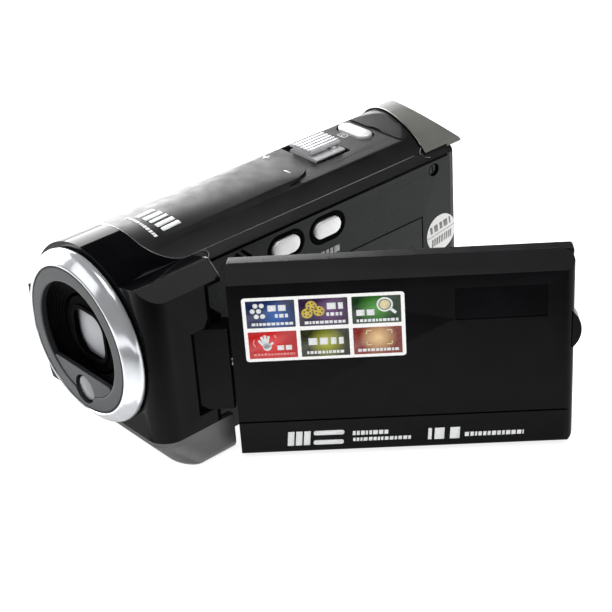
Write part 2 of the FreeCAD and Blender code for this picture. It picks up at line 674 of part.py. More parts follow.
def lower_cover():
    """The matte base cover: sloping chin, floor, tripod boss and screw bosses."""
    front = along_y("chin_outer", "housing_y", "housing_end",
                    outline(("side_x", "seam_z"), ("-flank_foot", "seam_z"), ("foot_x", "0", "foot_rad", 1),
                            ("22.4", "0"), ("side_x", "3.1", "3.1", 1)))
    front_room = along_y("chin_inner", "housing_y - 1", "housing_end + 1",
                         outline(("side_x - wall", "seam_z + 1"), ("-flank_foot + wall", "seam_z + 1"),
                                 ("foot_x", "base_wall", "foot_rad + 0.5", 1),
                                 ("side_x - wall", "base_wall")))
    hollow = common("chin_room", front_room, chin_shape("chin_room_shape", "1.9"))
    chin = cut("chin", common("chin_in_shape", front, chin_shape("chin_shape", "0")), hollow)
    floor = along_y("base_floor", "housing_end", "rear_y", base_section("rail_x - side_wall - 0.1"))
    boss = rod("tripod_boss", "z", ("0", "0", "0"), "7", "socket_deep + 2")
    posts = [rod(f"screw_post_{x}_{y}", "z", (x, y, "0"), "head_rad + 1.2", "7") for x, y in base_screws]
    nut_room = rod("nut_room", "z", ("0", "0", "-1"), "5.25", "socket_deep + 1.05")
    holes = [rod(f"screw_hole_{x}_{y}", "z", (x, y, "-1"), "screw_rad + 0.05", "9") for x, y in base_screws]
    sinks = [rod(f"screw_sink_{x}_{y}", "z", (x, y, "-1"), "head_rad + 0.15", "2.2") for x, y in base_screws]
    body = fuse("base_body", chin, floor, boss, *posts)
    return keep("lower_cover", cut("lower_cover_all", body, nut_room, *holes, *sinks))


def tripod_nut():
    """The brass nut of the tripod socket."""
    nut = rod("nut_outer", "z", ("0", "0", "0"), "5.2", "socket_deep")
    bore = rod("nut_bore", "z", ("0", "0", "-1"), "socket_rad", "socket_deep + 2")
    return keep("tripod_nut", cut("tripod_nut_all", nut, bore))


def case_screws():
    """The screws that hold the casing: four under the base and one high on the left side."""
    screws = []
    for x, y in base_screws:
        head = rod(f"head_{x}_{y}", "z", (x, y, "0.3"), "head_rad", "0.9")
        cross = box(f"cross_{x}_{y}", f"{x} - 0.2", f"{x} + 0.2", f"{y} - 0.9", f"{y} + 0.9", "-0.2", "0.7")
        shank = rod(f"shank_{x}_{y}", "z", (x, y, "1.2"), "screw_rad", "5.6")
        screws.append(fuse(f"screw_{x}_{y}", cut(f"driven_{x}_{y}", head, cross), shank))
    head = rod("side_head", "x", ("rail_x - 1.4", "side_screw_y", "side_screw_z"), "head_rad", "0.8")
    cross = box("side_cross", "rail_x - 1.1", "rail_x", "side_screw_y - 0.2", "side_screw_y + 0.2",
                "side_screw_z - 0.9", "side_screw_z + 0.9")
    shank = rod("side_shank", "x", ("rail_x - 6.5", "side_screw_y", "side_screw_z"), "screw_rad", "5")
    screws.append(fuse("side_screw", cut("side_driven", head, cross), shank))
    return keep("case_screws", compound("case_screws_all", screws))


def speaker_slots():
    """Five slanting slots that fill a circle."""
    slots = []
    for number in range(-2, 3):
        shift = number * 1.5
        reach = math.sqrt(value("speaker_rad") ** 2 - shift ** 2)
        corners = []
        for along, aside in ((-reach, -0.4), (reach, -0.4), (reach, 0.4), (-reach, 0.4)):
            offset = shift + aside
            across = (along + offset) * math.sqrt(0.5)
            up = (offset - along) * math.sqrt(0.5)
            corners.append((f"speaker_y + ({across:.4f})", f"speaker_z + ({up:.4f})"))
        slots.append(outline(*corners))
    return slots


def left_side_wall():
    """The flat satin wall behind the screen, with keys, speaker slots and the battery opening."""
    gap = "slide_gap"
    face = outline(("housing_end", "0.2"), (f"door_front - {gap}", "0.2"),
                   (f"door_front - {gap}", f"door_top + {gap}"), (f"door_back + {gap}", f"door_top + {gap}"),
                   (f"door_back + {gap}", "0.2"), ("rear_y", "0.2"), ("rear_y", "rail_low"),
                   ("housing_end", "rail_low"))
    keys = [stadium(place, "key_z", "key_long + 2 * key_gap", "key_wide + 2 * key_gap")
            for place in ("menu_y", "display_y")]
    wall = along_x("left_side_wall_body", "rail_x - side_wall", "rail_x", face, *keys, *speaker_slots(),
                   disc("side_screw_y", "side_screw_z", "screw_rad + 0.05"))
    pocket(wall, "YZ_Plane", "rail_x", "1.45", disc("side_screw_y", "side_screw_z", "head_rad + 0.2"))
    return keep("left_side_wall", wall)


def side_rail():
    """The narrow sloping strip between the left side wall and the top cover."""
    inner = "edge_x * (barrel_rad - wall) / barrel_rad"
    rail = along_y("side_rail_body", "housing_end", "rear_y",
                   outline(("edge_x + 0.05", on_circle("barrel_rad", "edge_x")),
                           (f"{inner} + 0.12", "rail_low + 0.9"), ("rail_x - side_wall", "rail_low"),
                           ("rail_x", "rail_low")))
    return keep("side_rail", rail)


def right_grip_shell():
    """The gently bulging right side that the hand wraps round."""
    inner = "flank_x * (barrel_rad - wall) / barrel_rad"
    shell = along_y("right_grip_shell_body", "housing_end", "rear_y",
                    outline(("-flank_x", on_circle("barrel_rad", "flank_x")),
                            ("-flank_foot", "seam_z", "flank_rad", 1), (minus("flank_foot - wall"), "seam_z"),
                            (minus(inner), on_circle("barrel_rad - wall", inner), "flank_rad - wall", -1)))
    return keep("right_grip_shell", shell)


def rear_cover():
    """The rear plate, with holes for its buttons, lamp and sockets."""
    gap = "slide_gap"
    plate = along_y("rear_cover_body", "rear_y", "rear_back",
                    outline(("rail_x - 2", "0"), ("rail_x", "2", "2", 1), ("rail_x", "rail_low"),
                            *upper_section("0", "edge_x"), ("foot_x", "0", "foot_rad", 1)),
                    disc("record_x", "record_z", f"record_rad + {gap}"),
                    *[stadium("mode_x", height, f"6.4 + 2 * {gap}", f"3.8 + 2 * {gap}")
                      for height in ("mode_z", "power_z")],
                    disc("mode_x", "lamp_z", "0.9"), disc("av_x", "port_z", "2.6"),
                    rectangle("usb_x - 4.1", "usb_x + 4.1", "port_z - 1.6", "port_z + 1.6"))
    round_off(plate, "0.8", {"y": "rear_back", "x": "rail_x"})
    return keep("rear_cover", plate)


def cap_sector(name, inner, outer, front, back):
    """A stretch of the cap: a ring section from its left corner to the right flank."""
    def spot(radius, reach):
        across = f"({reach}) * ({radius}) / barrel_rad"
        return across, on_circle(radius, across)

    left, right = "cap_left", "-flank_x"
    return along_y(name, front, back,
                   outline(spot(outer, left), (*spot(outer, right), outer, 1),
                           spot(inner, right), (*spot(inner, left), inner, -1)))


def rear_cap():
    """The flared cap over the back of the top, with swept-back pointed corners."""
    visor = cap_sector("cap_visor", "barrel_rad + 0.05", "cap_rad", "cap_front - 2", "cap_back")
    root = cap_sector("cap_root", "barrel_rad - wall", "barrel_rad + 0.06", "cap_front - 2",
                      "rear_y - 0.05")
    hollow = rod("cap_hollow", "z", ("3", "cap_back + 17", "30"), "21.4", "40")
    rail_room = box("cap_rail_room", "edge_x * (barrel_rad - wall) / barrel_rad - 0.05", "20",
                    "40", "rear_y", "45", "lens_z + sqrt(barrel_rad * barrel_rad - edge_x * edge_x) + 0.05")
    whole = common("cap_in_plan", fuse("cap_joined", visor, root), cap_plan("cap_plan", "0"))
    return keep("rear_cap", cut("rear_cap_all", whole, hollow, rail_room))


def strap_lug():
    """The eyelet for a wrist strap, on the right of the front housing."""
    block = box("lug_block", "-28.8", "-23.5", "housing_y + 0.3", "housing_y + 7.3", "32", "36.4")
    hole = box("lug_hole", "-27.8", "-26.2", "housing_y + 2.2", "housing_y + 5.6", "31", "38")
    housing = along_y("lug_housing", "housing_y", "housing_end",
                      housing_section("0", "side_x", "shelf_low", "shelf_x", "shelf_high"))
    return keep("strap_lug", cut("strap_lug_all", block, hole, housing))


# ---- controls ----------------------------------------------------------------------------------

def zoom_lever():
    """The ribbed chrome lever that rocks sideways for zoom."""
    half, reach = "lever_span / 2", "lever_long / 2"
    plate = along_z("lever_plate", "deck_z + 1.3", "deck_z + 2.3",
                    rectangle(f"lever_x - {half}", f"lever_x + {half}", f"lever_y - {reach}",
                              f"lever_y + {reach}", "1.0"))
    round_off(plate, "0.35", {"z": "deck_z + 2.3"})
    ribs = []
    for number in range(-2, 3):
        middle = f"lever_x + ({number}) * 1.5"
        ribs.append(box(f"lever_rib_{number}", f"{middle} - 0.3", f"{middle} + 0.3", f"lever_y - {reach} + 1",
                        f"lever_y + {reach} - 1", "deck_z + 2", "deck_z + 2.6"))
    neck = box("lever_neck", "lever_x - 3.4", "lever_x + 3.4", "lever_y - 4", "lever_y + 4",
               "deck_z + 0.5", "deck_z + 1.4")
    arm = box("lever_arm", "lever_x - 1.5", "lever_x + 1.5", "lever_y - 3", "lever_y + 3",
              "lever_pin_z", "deck_z + 0.6")
    hub = rod("lever_hub", "y", ("lever_x", "lever_y - 3", "lever_pin_z"), "2.2", "6")
    bore = rod("lever_bore", "y", ("lever_x", "lever_y - 4", "lever_pin_z"), "pin_rad + pin_play", "8")
    return keep("zoom_lever", cut("zoom_lever_all", fuse("lever_body", plate, neck, arm, hub, *ribs), bore))


def zoom_bracket():
    """The frame under the deck whose two ears carry the zoom lever's axle."""
    frame = along_z("bracket_frame", "deck_wall - 1", "deck_wall",
                    rectangle("lever_x - 6.5", "lever_x + 6.5",
                              "lever_y - slot_long / 2 - 1.5", "lever_y + slot_long / 2 + 1.5"),
                    rectangle("lever_x - 5.2", "lever_x + 5.2",
                              "lever_y - slot_long / 2 + 1.6", "lever_y + slot_long / 2 - 1.6"))
    ears = []
    for side in (-1, 1):
        middle = f"lever_y + ({side}) * 4.6"
        ears.append(box(f"bracket_ear_{side}", "lever_x - 2.6", "lever_x + 2.6", f"{middle} - 0.6",
                        f"{middle} + 0.6", "lever_pin_z - 2.6", "deck_wall - 0.9"))
    bore = rod("bracket_bore", "y", ("lever_x", "lever_y - 7", "lever_pin_z"), "pin_rad", "14")
    return keep("zoom_bracket", cut("zoom_bracket_all", fuse("bracket_body", frame, *ears), bore))


def zoom_pin():
    """The zoom lever's axle."""
    return keep("zoom_pin", rod("zoom_pin_rod", "y", ("lever_x", "lever_y - 5.6", "lever_pin_z"),
                                "pin_rad", "11.2"))


def photo_button():
    """The long chrome photo button, with a flange that keeps it in the deck."""
    size = ("photo_long", "photo_wide")
    cap = along_z("photo_cap", "deck_wall - 0.4", "deck_z + 0.9", stadium("photo_x", "photo_y", *size))
    round_off(cap, "0.5", {"z": "deck_z + 0.9"})
    flange = along_z("photo_flange", "deck_wall - 1", "deck_wall - 0.3",
                     stadium("photo_x", "photo_y", "photo_long + 2.8", "photo_wide + 2.4"))
    return keep("photo_button", fuse("photo_button_all", cap, flange))


def photo_switch():
    """The switch under the photo button, on its own strip of board."""
    board = box("photo_board", "photo_x - 7", "photo_x + 7", "photo_y - 3.4", "photo_y + 3.4",
                "deck_wall - 4.6", "deck_wall - 3.6")
    switch = box("photo_dome", "photo_x - 2", "photo_x + 2", "photo_y - 2", "photo_y + 2",
                 "deck_wall - 3.6", "deck_wall - 1.9")
    return keep("photo_switch", fuse("photo_switch_all", board, switch))


def side_key(name, place):
    """One of the two oval chrome keys in the left side wall."""
    cap = along_x(name + "_cap", "rail_x - side_wall - 0.4", "rail_x + 0.55",
                  stadium(place, "key_z", "key_long", "key_wide"))
    round_off(cap, "0.4", {"x": "rail_x + 0.55"})
    flange = along_x(name + "_flange", "rail_x - side_wall - 1.1", "rail_x - side_wall - 0.3",
                     stadium(place, "key_z", "key_long + 2.4", "key_wide + 2.4"))
    return keep(name, fuse(name + "_all", cap, flange))


def key_switches():
    """The board behind the side keys, with one switch for each."""
    face = "rail_x - side_wall - 1.7"
    board = box("key_board", f"{face} - 3", f"{face} - 1.8", "menu_y - 6", "display_y + 6",
                "key_z - 4", "key_z + 4")
    switches = [box(f"key_switch_{place}", f"{face} - 1.8", face, f"{place} - 2", f"{place} + 2",
                    "key_z - 2", "key_z + 2") for place in ("menu_y", "display_y")]
    return keep("key_switches", fuse("key_switches_all", board, *switches))


def rear_button(name, cap_shape, flange_shape):
    """A button that is pressed forward into the rear cover."""
    cap = along_y(name + "_cap", "rear_y - 1.6", "rear_back + 1.2", cap_shape)
    round_off(cap, "0.5", {"y": "rear_back + 1.2"})
    flange = along_y(name + "_flange", "rear_y - 2.2", "rear_y - 1.5", flange_shape)
    return keep(name, fuse(name + "_all", cap, flange))


def rear_buttons():
    rear_button("record_button", disc("record_x", "record_z", "record_rad"),
                disc("record_x", "record_z", "record_rad + 1"))
    for name, height in (("mode_button", "mode_z"), ("power_button", "power_z")):
        rear_button(name, stadium("mode_x", height, "6.4", "3.8"), stadium("mode_x", height, "8", "5.4"))


def record_bezel():
    """The bright ring round the record button."""
    ring = along_y("record_bezel_body", "rear_back", "rear_back + 0.5",
                   disc("record_x", "record_z", "record_rad + 1.6"),
                   disc("record_x", "record_z", "record_rad + slide_gap"))
    round_off(ring, "0.3", {"y": "rear_back + 0.5"})
    return keep("record_bezel", ring)


def rear_switches():
    """The board behind the rear buttons, with its three switches."""
    front = "rear_y - 7"
    board = box("rear_board", "-12", "12", front, f"{front} + 1.2", "17", "44")
    switches = [box(f"rear_switch_{number}", f"{x} - 2", f"{x} + 2", f"{front} + 1.2", f"{front} + 4",
                    f"{z} - 2", f"{z} + 2")
                for number, (x, z) in enumerate((("record_x", "record_z"), ("mode_x", "mode_z"),
                                                 ("mode_x", "power_z")))]
    return keep("rear_switches", fuse("rear_switches_all", board, *switches))


def status_lamp():
    """The small lamp between the mode and power buttons."""
    lamp = rod("status_lamp_rod", "y", ("mode_x", "rear_y - 1.6", "lamp_z"), "0.9", "3.6")
    return keep("status_lamp", lamp)


def usb_port():
    """The flat data socket."""
    shell = along_y("usb_port_body", "rear_back - 7", "rear_back",
                    rectangle("usb_x - 4", "usb_x + 4", "port_z - 1.5", "port_z + 1.5"))
    pocket(shell, "XZ_Plane", "-rear_back", "5.5",
           rectangle("usb_x - 3.6", "usb_x + 3.6", "port_z - 1.1", "port_z + 1.1"), flip=True)
    return keep("usb_port", shell)


def av_jack():
    """The round socket for picture and sound."""
    shell = along_y("av_jack_body", "rear_back - 8", "rear_back", disc("av_x", "port_z", "2.5"))
    pocket(shell, "XZ_Plane", "-rear_back", "6.5", disc("av_x", "port_z", "1.75"), flip=True)
    return keep("av_jack", shell)


# ---- inside ------------------------------------------------------------------------------------

def main_board():
    """The main circuit board, upright along the middle, with its larger chips."""
    board = box("board_plate", "0.6", "1.8", "-24", "45", "9", "42")
    processor = box("processor", "-1.0", "0.6", "-6", "8", "20", "34")
    memory = box("memory", "-0.6", "0.6", "14", "24", "22", "32")
    return keep("main_board", fuse("main_board_all", board, processor, memory))


def battery_bay():
    """The open box that takes the battery, behind its door."""
    walls = box("bay_walls", "bay_x", "rail_x - side_wall - 0.1", "door_front - 0.6", "door_back + 0.6",
                "base_wall", "door_top + 1.2")
    room = box("bay_room", "bay_x + 1", "rail_x", "door_front + 0.4", "door_back - 0.4",
               "base_wall + 1", "door_top")
    return keep("battery_bay", cut("battery_bay_all", walls, room))


def battery():
    """The flat rechargeable battery, which fills its bay."""
    cell = along_x("battery_body", "bay_x + 1.3", "rail_x - side_wall - 0.7",
                   rectangle("door_front + 0.8", "door_back - 0.8", "base_wall + 1.4", "door_top - 0.4",
                            "1.2"))
    return keep("battery", cell)


def battery_door():
    """The flat door of the battery bay, which slides down to open, with a ribbed thumb grip."""
    leaf = along_x("door_leaf", "rail_x - side_wall + 0.05", "rail_x",
                   rectangle("door_front", "door_back", "door_foot", "door_top"))
    ribs = []
    for number in range(8):
        start = f"door_front + 20 + {number} * 1.6"
        ribs.append(box(f"door_rib_{number}", "rail_x - 0.1", "rail_x + 0.3", start, f"{start} + 0.7",
                        "door_foot + 3", "door_foot + 9"))
    return keep("battery_door", fuse("battery_door_all", leaf, *ribs))


def speaker():
    """The small round speaker behind its slots."""
    drum = rod("speaker_drum", "x", ("rail_x - side_wall - 3", "speaker_y", "speaker_z"), "5", "2.9")
    return keep("speaker", drum)


def round_label():
    """The blank round label over the left wall's rear edge."""
    label = rod("label_disc", "x", ("rail_x", "label_y", "label_z"), "5.4", "0.1")
    return keep("round_label", label)


# ---- screen ------------------------------------------------------------------------------------

def hinge_block():
    """The knuckle that swings in the housing's notch, with a bore for the pin and a socket."""
    body = along_z("hinge_block_body", "notch_low + 0.3", "notch_high - 0.3",
                   rectangle("19.6", "side_x - 0.2", "notch_front + 0.4", "panel_near - 0.4", "1.0"),
                   disc("hinge_x", "hinge_y", "pin_rad + pin_play"))
    socket = rod("pivot_socket", "y", ("pivot_x", "panel_near - 3.4", "pivot_z"), "pivot_rad", "6")
    return keep("hinge_block", swing(cut("hinge_block_all", body, socket)))


def hinge_pin():
    """The steel pin of the screen's hinge."""
    return keep("hinge_pin", rod("hinge_pin_rod", "z", ("hinge_x", "hinge_y", "notch_low - 2.9"), "pin_rad",
                                 "notch_high - notch_low + 5.8"))


def pivot_shaft():
    """The shaft on which the panel can also turn over."""
    shaft = rod("pivot_rod", "y", ("pivot_x", "panel_near - 3.4", "pivot_z"), "pivot_rad", "3.4 + 7")
    collar = rod("pivot_collar", "y", ("pivot_x", "panel_near + panel_skin + 0.1", "pivot_z"),
                 "pivot_rad + 0.2", "1.2")
    return keep("pivot_shaft", swing(fuse("pivot_shaft_all", shaft, collar)))


def panel_shell():
    """The glossy back of the screen panel: facet along the top, groove, shallow field, thumb tab."""
    end = "panel_near + panel_long"
    profile = along_y("panel_profile", "panel_near", end,
                      outline(("panel_split", "panel_low"), ("side_x - 1", "panel_low"),
                              ("side_x", "panel_low + 1", "1", 1), ("side_x", "shelf_low"),
                              ("shelf_x", "panel_high"), ("panel_split", "panel_high")))
    plan = along_z("panel_plan", "panel_low - 1", "panel_high + 1",
                   outline(("panel_split", "panel_near"), ("side_x", "panel_near"),
                           ("side_x", f"{end} - 2.4"), ("side_x - 2.4", end, "2.4", 1),
                           ("panel_split", end)))
    face = along_x("panel_face", "panel_split", "side_x",
                   rectangle("panel_near", end, "panel_low", "panel_high"))
    round_off(face, "2.6", {"y": end, "z": "panel_low"}, {"y": end, "z": "panel_high"})
    room = along_x("panel_room", "panel_split - 1", "side_x - panel_skin",
                   rectangle("panel_near + panel_skin", f"{end} - panel_skin", "panel_low + panel_skin",
                             "shelf_low - 1", "2"))
    groove = along_x("panel_groove", "side_x - 0.35", "side_x + 1",
                     rectangle("panel_near - 1", f"{end} + 1", "seam_z - 0.25", "seam_z + 0.25"))
    field = along_x("panel_field", "side_x - 0.25", "side_x + 1",
                    rectangle("panel_near + 53.6", "panel_near + 75.5", "panel_low + 36.2",
                              "panel_low + 44.9", "0.6"))
    shell = common("panel_outside", profile, plan, face)
    tab = rod("thumb_tab", "x", ("panel_split + 0.4", f"{end} + 1.6 - tab_rad", "tab_z"), "tab_rad", "3.4")
    tab_keep = box("tab_room", "panel_split", "side_x", f"{end} - 0.6", f"{end} + 3", "tab_z - 12",
                   "tab_z + 12")
    bore = rod("panel_bore", "y", ("pivot_x", "panel_near - 1", "pivot_z"), "pivot_rad", "4")
    whole = fuse("shell_and_tab", shell, common("tab_crescent", tab, tab_keep))
    return keep("panel_shell", swing(cut("panel_shell_all", whole, room, groove, field, bore)))


def screen_rectangle(margin, corner=None):
    return rectangle(f"screen_near - {margin}", f"screen_near + screen_long + {margin}",
                     f"pivot_z - screen_high / 2 - {margin}", f"pivot_z + screen_high / 2 + {margin}", corner)


def panel_bezel():
    """The inner face of the screen panel: a frame round the screen window."""
    end = "panel_near + panel_long"
    bezel = along_x("panel_bezel_body", "panel_inner", "panel_split - 0.05",
                    rectangle("panel_near", end, "panel_low", "panel_high", "0.8"),
                    screen_rectangle("0", "0.8"))
    pocket(bezel, "YZ_Plane", "panel_inner + 1.1", "3", screen_rectangle("1.8"), flip=True)
    return keep("panel_bezel", swing(bezel))


def lcd_screen():
    """The display module behind the window of the panel's inner face."""
    module = along_x("lcd_screen_body", "panel_inner + 1.15", "panel_split - 0.05", screen_rectangle("1.7"))
    return keep("lcd_screen", swing(module))


def feature_sticker():
    """The six-cell picture sticker on the panel."""
    sticker = along_x("feature_sticker_body", "side_x", "side_x + 0.12",
                      rectangle("panel_near + 3.3", "panel_near + 41.8", "28.6", "46.2", "0.8"))
    return keep("feature_sticker", swing(sticker))


# ---- build, check and write --------------------------------------------------------------------

def build():
    for make in (chrome_ring, trim_ring, lens_well, sensor_plate, lamp_window, lens_frame, front_lens,
                 lens_barrel, rear_lens, image_sensor, top_cover, front_housing, lower_cover, tripod_nut,
                 case_screws, left_side_wall, side_rail, right_grip_shell, rear_cover, rear_cap, strap_lug,
                 zoom_lever, zoom_bracket, zoom_pin, photo_button, photo_switch, key_switches, rear_buttons,
                 record_bezel, rear_switches, status_lamp, usb_port, av_jack, main_board, battery_bay,
                 battery, battery_door, speaker, round_label, hinge_block, hinge_pin, pivot_shaft,
                 panel_shell, panel_bezel, lcd_screen, feature_sticker):
        make()
    side_key("menu_key", "menu_y")
    side_key("display_key", "display_y")
    doc.recompute()


def check():
    for item in doc.Objects:
        if "Invalid" in item.State or "Error" in item.State:
            raise ValueError(f"{item.Name} failed: {item.getStatusString()}")
    for piece in pieces:
        if piece.Shape.isNull() or not piece.Shape.isValid():
            raise ValueError(f"{piece.Label} has no valid shape")


def write():
    os.makedirs("parts", exist_ok=True)
    for piece in pieces:
        piece.Shape.exportStep(f"parts/{piece.Label}.step")
    print(f"{len(pieces)} sub-parts written")


build()
check()
write()
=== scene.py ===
"""Looks of the pocket camcorder: rounded edges, lens, marks, materials, studio light and camera.

Lengths are written in millimetres in the part's own frame. They become metres where Blender gets them: in a
finished mesh, a light, a card or the camera.
"""

import json
import math
import random

import bmesh
import bpy
from mathutils import Euler, Matrix, Vector


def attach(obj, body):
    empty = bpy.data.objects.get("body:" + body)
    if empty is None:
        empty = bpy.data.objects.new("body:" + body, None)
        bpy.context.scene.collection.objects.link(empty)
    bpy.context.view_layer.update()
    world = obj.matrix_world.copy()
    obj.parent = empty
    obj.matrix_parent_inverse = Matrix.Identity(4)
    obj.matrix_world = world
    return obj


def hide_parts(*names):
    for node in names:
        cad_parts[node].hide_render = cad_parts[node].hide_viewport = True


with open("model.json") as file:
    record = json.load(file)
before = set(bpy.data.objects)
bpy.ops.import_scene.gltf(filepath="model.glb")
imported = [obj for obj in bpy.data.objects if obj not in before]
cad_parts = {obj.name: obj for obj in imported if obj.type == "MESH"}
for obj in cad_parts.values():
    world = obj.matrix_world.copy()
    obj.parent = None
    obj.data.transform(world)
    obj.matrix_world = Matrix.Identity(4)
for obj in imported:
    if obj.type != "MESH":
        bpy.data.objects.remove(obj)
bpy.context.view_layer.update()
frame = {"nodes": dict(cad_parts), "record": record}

MM = 0.001

# The casing. Heights are above the base, and places along the body grow from the lens towards the rear.
LENS_Z = 33.4              # height of the lens axis
FRONT = -58.0              # front of the trim ring
BARREL = 24.2              # radius of the round top
WALL = 17.2                # face of the left side wall
DECK = 55.3                # height of the flat deck under the lever
COVER_EDGE = 15.2          # side edge of the round top cover
COVER_FRONT = -41.7        # its front edge
CAP_FRONT = 47.9           # front edge of the rear cap, where it bends
CAP_BEND = 5               # where across the cap that edge bends
CAP_RADIUS = 24.95         # radius of the rear cap
REAR_SEAM = 54.1           # where the rear cover starts
REAR_FACE = 55.9           # face of the rear cover
SCREW = (48.2, 46.9)       # side screw, along and up

# The screen, as it lies closed along the body.
HINGE = Vector((24.2, -37.8, 0))
OPEN_ANGLE = -42.0         # how far the panel stands open, in degrees
SIDE = 25.5                # printed face of the panel
PANEL_NEAR = -30.8         # hinge end of the panel
PANEL_LOW = 1.4            # bottom edge of the panel
STICKER_LEFT = -27.5       # left and top edge of the sticker
STICKER_TOP = 46.2
STICKER_SIZE = (38.5, 17.6)
CELL_MARGIN = (0.9, 0.85)  # first cell's corner, from the sticker's corner
CELL_SIZE = (11.6, 7.4)
CELL_STEP = (12.55, 8.5)   # from one cell to the next, along and down
MAGNIFIER = (7.8, 2.4)     # middle of the magnifier's glass in its cell

# The lens end.
PLATE_TOP = 24.6           # straight upper edge of the sensor plate
PLATE_ROOM = 15.3          # radius of the opening that the plate and the stepped well fill
WINDOW_Z = 19.2            # height of the lamp's window
WINDOW_RADIUS = 3.9
LAMP_RADIUS = 3.4

# The controls and labels.
KEY_Z = 44.3               # height of the two side keys
KEY_SIZE = (9.0, 4.8)
KEY_ROOT = 14.7            # where a side key starts inside the wall
SURROUND_OUTER = (12.2, 7.9)
SURROUND_INNER = (10.2, 6.0)
PHOTO_SPOT = (-3.2, 38.8)  # middle of the deck's oval key, across and along
PHOTO_SIZE = (11.4, 4.4)
RECORD_SPOT = (-5.0, 30.0)  # middle of the round rear key, across and up
RECORD_RADIUS = 6.0
REAR_KEY_X = 8.0           # the two small rear keys, one above the other
REAR_KEY_SIZE = (6.4, 3.8)
LABEL = (50.3, 27.3)       # middle of the round label, along and up
LABEL_RADIUS = 5.4


# ---- mesh helpers --------------------------------------------------------------------------------

def swing():
    """Turns a piece drawn on the closed screen to where the screen stands open."""
    there = Matrix.Translation(HINGE * MM)
    turn = Matrix.Rotation(math.radians(OPEN_ANGLE), 4, "Z")
    return there @ turn @ there.inverted()


def from_bmesh(name, bm):
    """Makes an object of a mesh drawn in millimetres."""
    bmesh.ops.remove_doubles(bm, verts=bm.verts, dist=1e-5)
    bmesh.ops.recalc_face_normals(bm, faces=bm.faces)
    bmesh.ops.scale(bm, vec=(MM, MM, MM), verts=bm.verts)
    mesh = bpy.data.meshes.new(name)
    bm.to_mesh(mesh)
    bm.free()
    mesh.shade_smooth()
    piece = bpy.data.objects.new(name, mesh)
    bpy.context.scene.collection.objects.link(piece)
    return piece


def loops_mesh(name, loops, closed=True):
    """A skin over rings of points: closed joins the last ring to the first, else the end rings are filled."""
    bm = bmesh.new()
    rings = [[bm.verts.new(point) for point in loop] for loop in loops]
    count = len(rings[0])
    pairs = list(zip(rings, rings[1:]))
    if closed:
        pairs.append((rings[-1], rings[0]))
    for ring, following in pairs:
        for index in range(count):
            after = (index + 1) % count
            bm.faces.new((ring[index], ring[after], following[after], following[index]))
    if not closed:
        bm.faces.new(rings[0][::-1])
        bm.faces.new(rings[-1])
    return from_bmesh(name, bm)


def lathe(name, profile):
    """A ring turned about the lens axis, from places along it and radii."""
    steps = 180
    loops = []
    for step in range(steps):
        angle = 2 * math.pi * step / steps
        loops.append([(radius * math.cos(angle), along, LENS_Z + radius * math.sin(angle))
                      for along, radius in profile])
    return loops_mesh(name, loops)


def rounded(corners, steps=6):
    """A closed outline with an arc of its own radius at each corner (across, up, radius)."""
    points = []
    for index, (across, up, radius) in enumerate(corners):
        here = Vector((across, up))
        before = Vector(corners[index - 1][:2]) - here
        after = Vector(corners[(index + 1) % len(corners)][:2]) - here
        if radius <= 0:
            points.append((across, up))
            continue
        half = before.angle(after) / 2
        middle = here + (before.normalized() + after.normalized()).normalized() * radius / math.sin(half)
        first = here + before.normalized() * radius / math.tan(half) - middle
        last = here + after.normalized() * radius / math.tan(half) - middle
        sweep = first.angle_signed(last)
        for step in range(steps + 1):
            turn = Matrix.Rotation(-sweep * step / steps, 2)
            points.append(tuple(middle + turn @ first))
    return points


def rectangle(left, right, low, high, radius=0.0, steps=6):
    """A rectangle's outline, with rounded corners if asked."""
    corners = [(left, low), (right, low), (right, high), (left, high)]
    return rounded([(across, up, radius) for across, up in corners], steps)


def stadium(across, up, length, width):
    """The outline of a slot with round ends."""
    radius = width / 2 - 0.001
    return rectangle(across - length / 2, across + length / 2, up - width / 2, up + width / 2, radius, 14)


def circle(across, up, radius, steps=48):
    """A round outline."""
    points = []
    for step in range(steps):
        angle = 2 * math.pi * step / steps
        points.append((across + radius * math.cos(angle), up + radius * math.sin(angle)))
    return points


# How a point of an outline and its level become a place, for each axis that the outline is pushed along.
PLACES = {
    "x": lambda across, up, level: (level, across, up),
    "y": lambda across, up, level: (across, level, up),
    "z": lambda across, up, level: (across, up, level),
}


def prism(name, axis, outline, low, high):
    """One outline pushed along an axis."""
    return slabs(name, axis, [outline], low, high)


def slabs(name, axis, outlines, low, high, bend=None):
    """Several outlines pushed along an axis in one mesh; bend can lay their points on a curved face."""
    put = PLACES[axis]
    bm = bmesh.new()
    for outline in outlines:
        rings = []
        for level in (low, high):
            points = [bend(across, up, level) if bend else put(across, up, level) for across, up in outline]
            rings.append([bm.verts.new(point) for point in points])
        bm.faces.new(rings[0][::-1])
        bm.faces.new(rings[1])
        for index in range(len(outline)):
            after = (index + 1) % len(outline)
            bm.faces.new((rings[0][index], rings[0][after], rings[1][after], rings[1][index]))
    return from_bmesh(name, bm)


def band(name, axis, outer, inner, low, high):
    """A flat ring between two outlines with the same number of points."""
    put = PLACES[axis]
    loops = []
    for outline, level in ((outer, low), (outer, high), (inner, high), (inner, low)):
        loops.append([put(across, up, level) for across, up in outline])
    return loops_mesh(name, loops)


def pillow(name, axis, shape, half, base, top, rounding, crown):
    """A button: shape(inset) gives its outline, its edge is rounded and its top is slightly crowned."""
    put = PLACES[axis]
    lift = 1 if top > base else -1
    levels = [(0.0, base)]
    for step in range(5):
        angle = math.pi / 2 * step / 4
        levels.append((rounding * (1 - math.cos(angle)), top - lift * rounding * (1 - math.sin(angle))))
    for step in range(1, 8):
        share = step / 8
        levels.append((rounding + (half - rounding) * share, top + lift * crown * (1 - (1 - share) ** 2)))
    loops = [[put(across, up, level) for across, up in shape(inset)] for inset, level in levels]
    return loops_mesh(name, loops, closed=False)


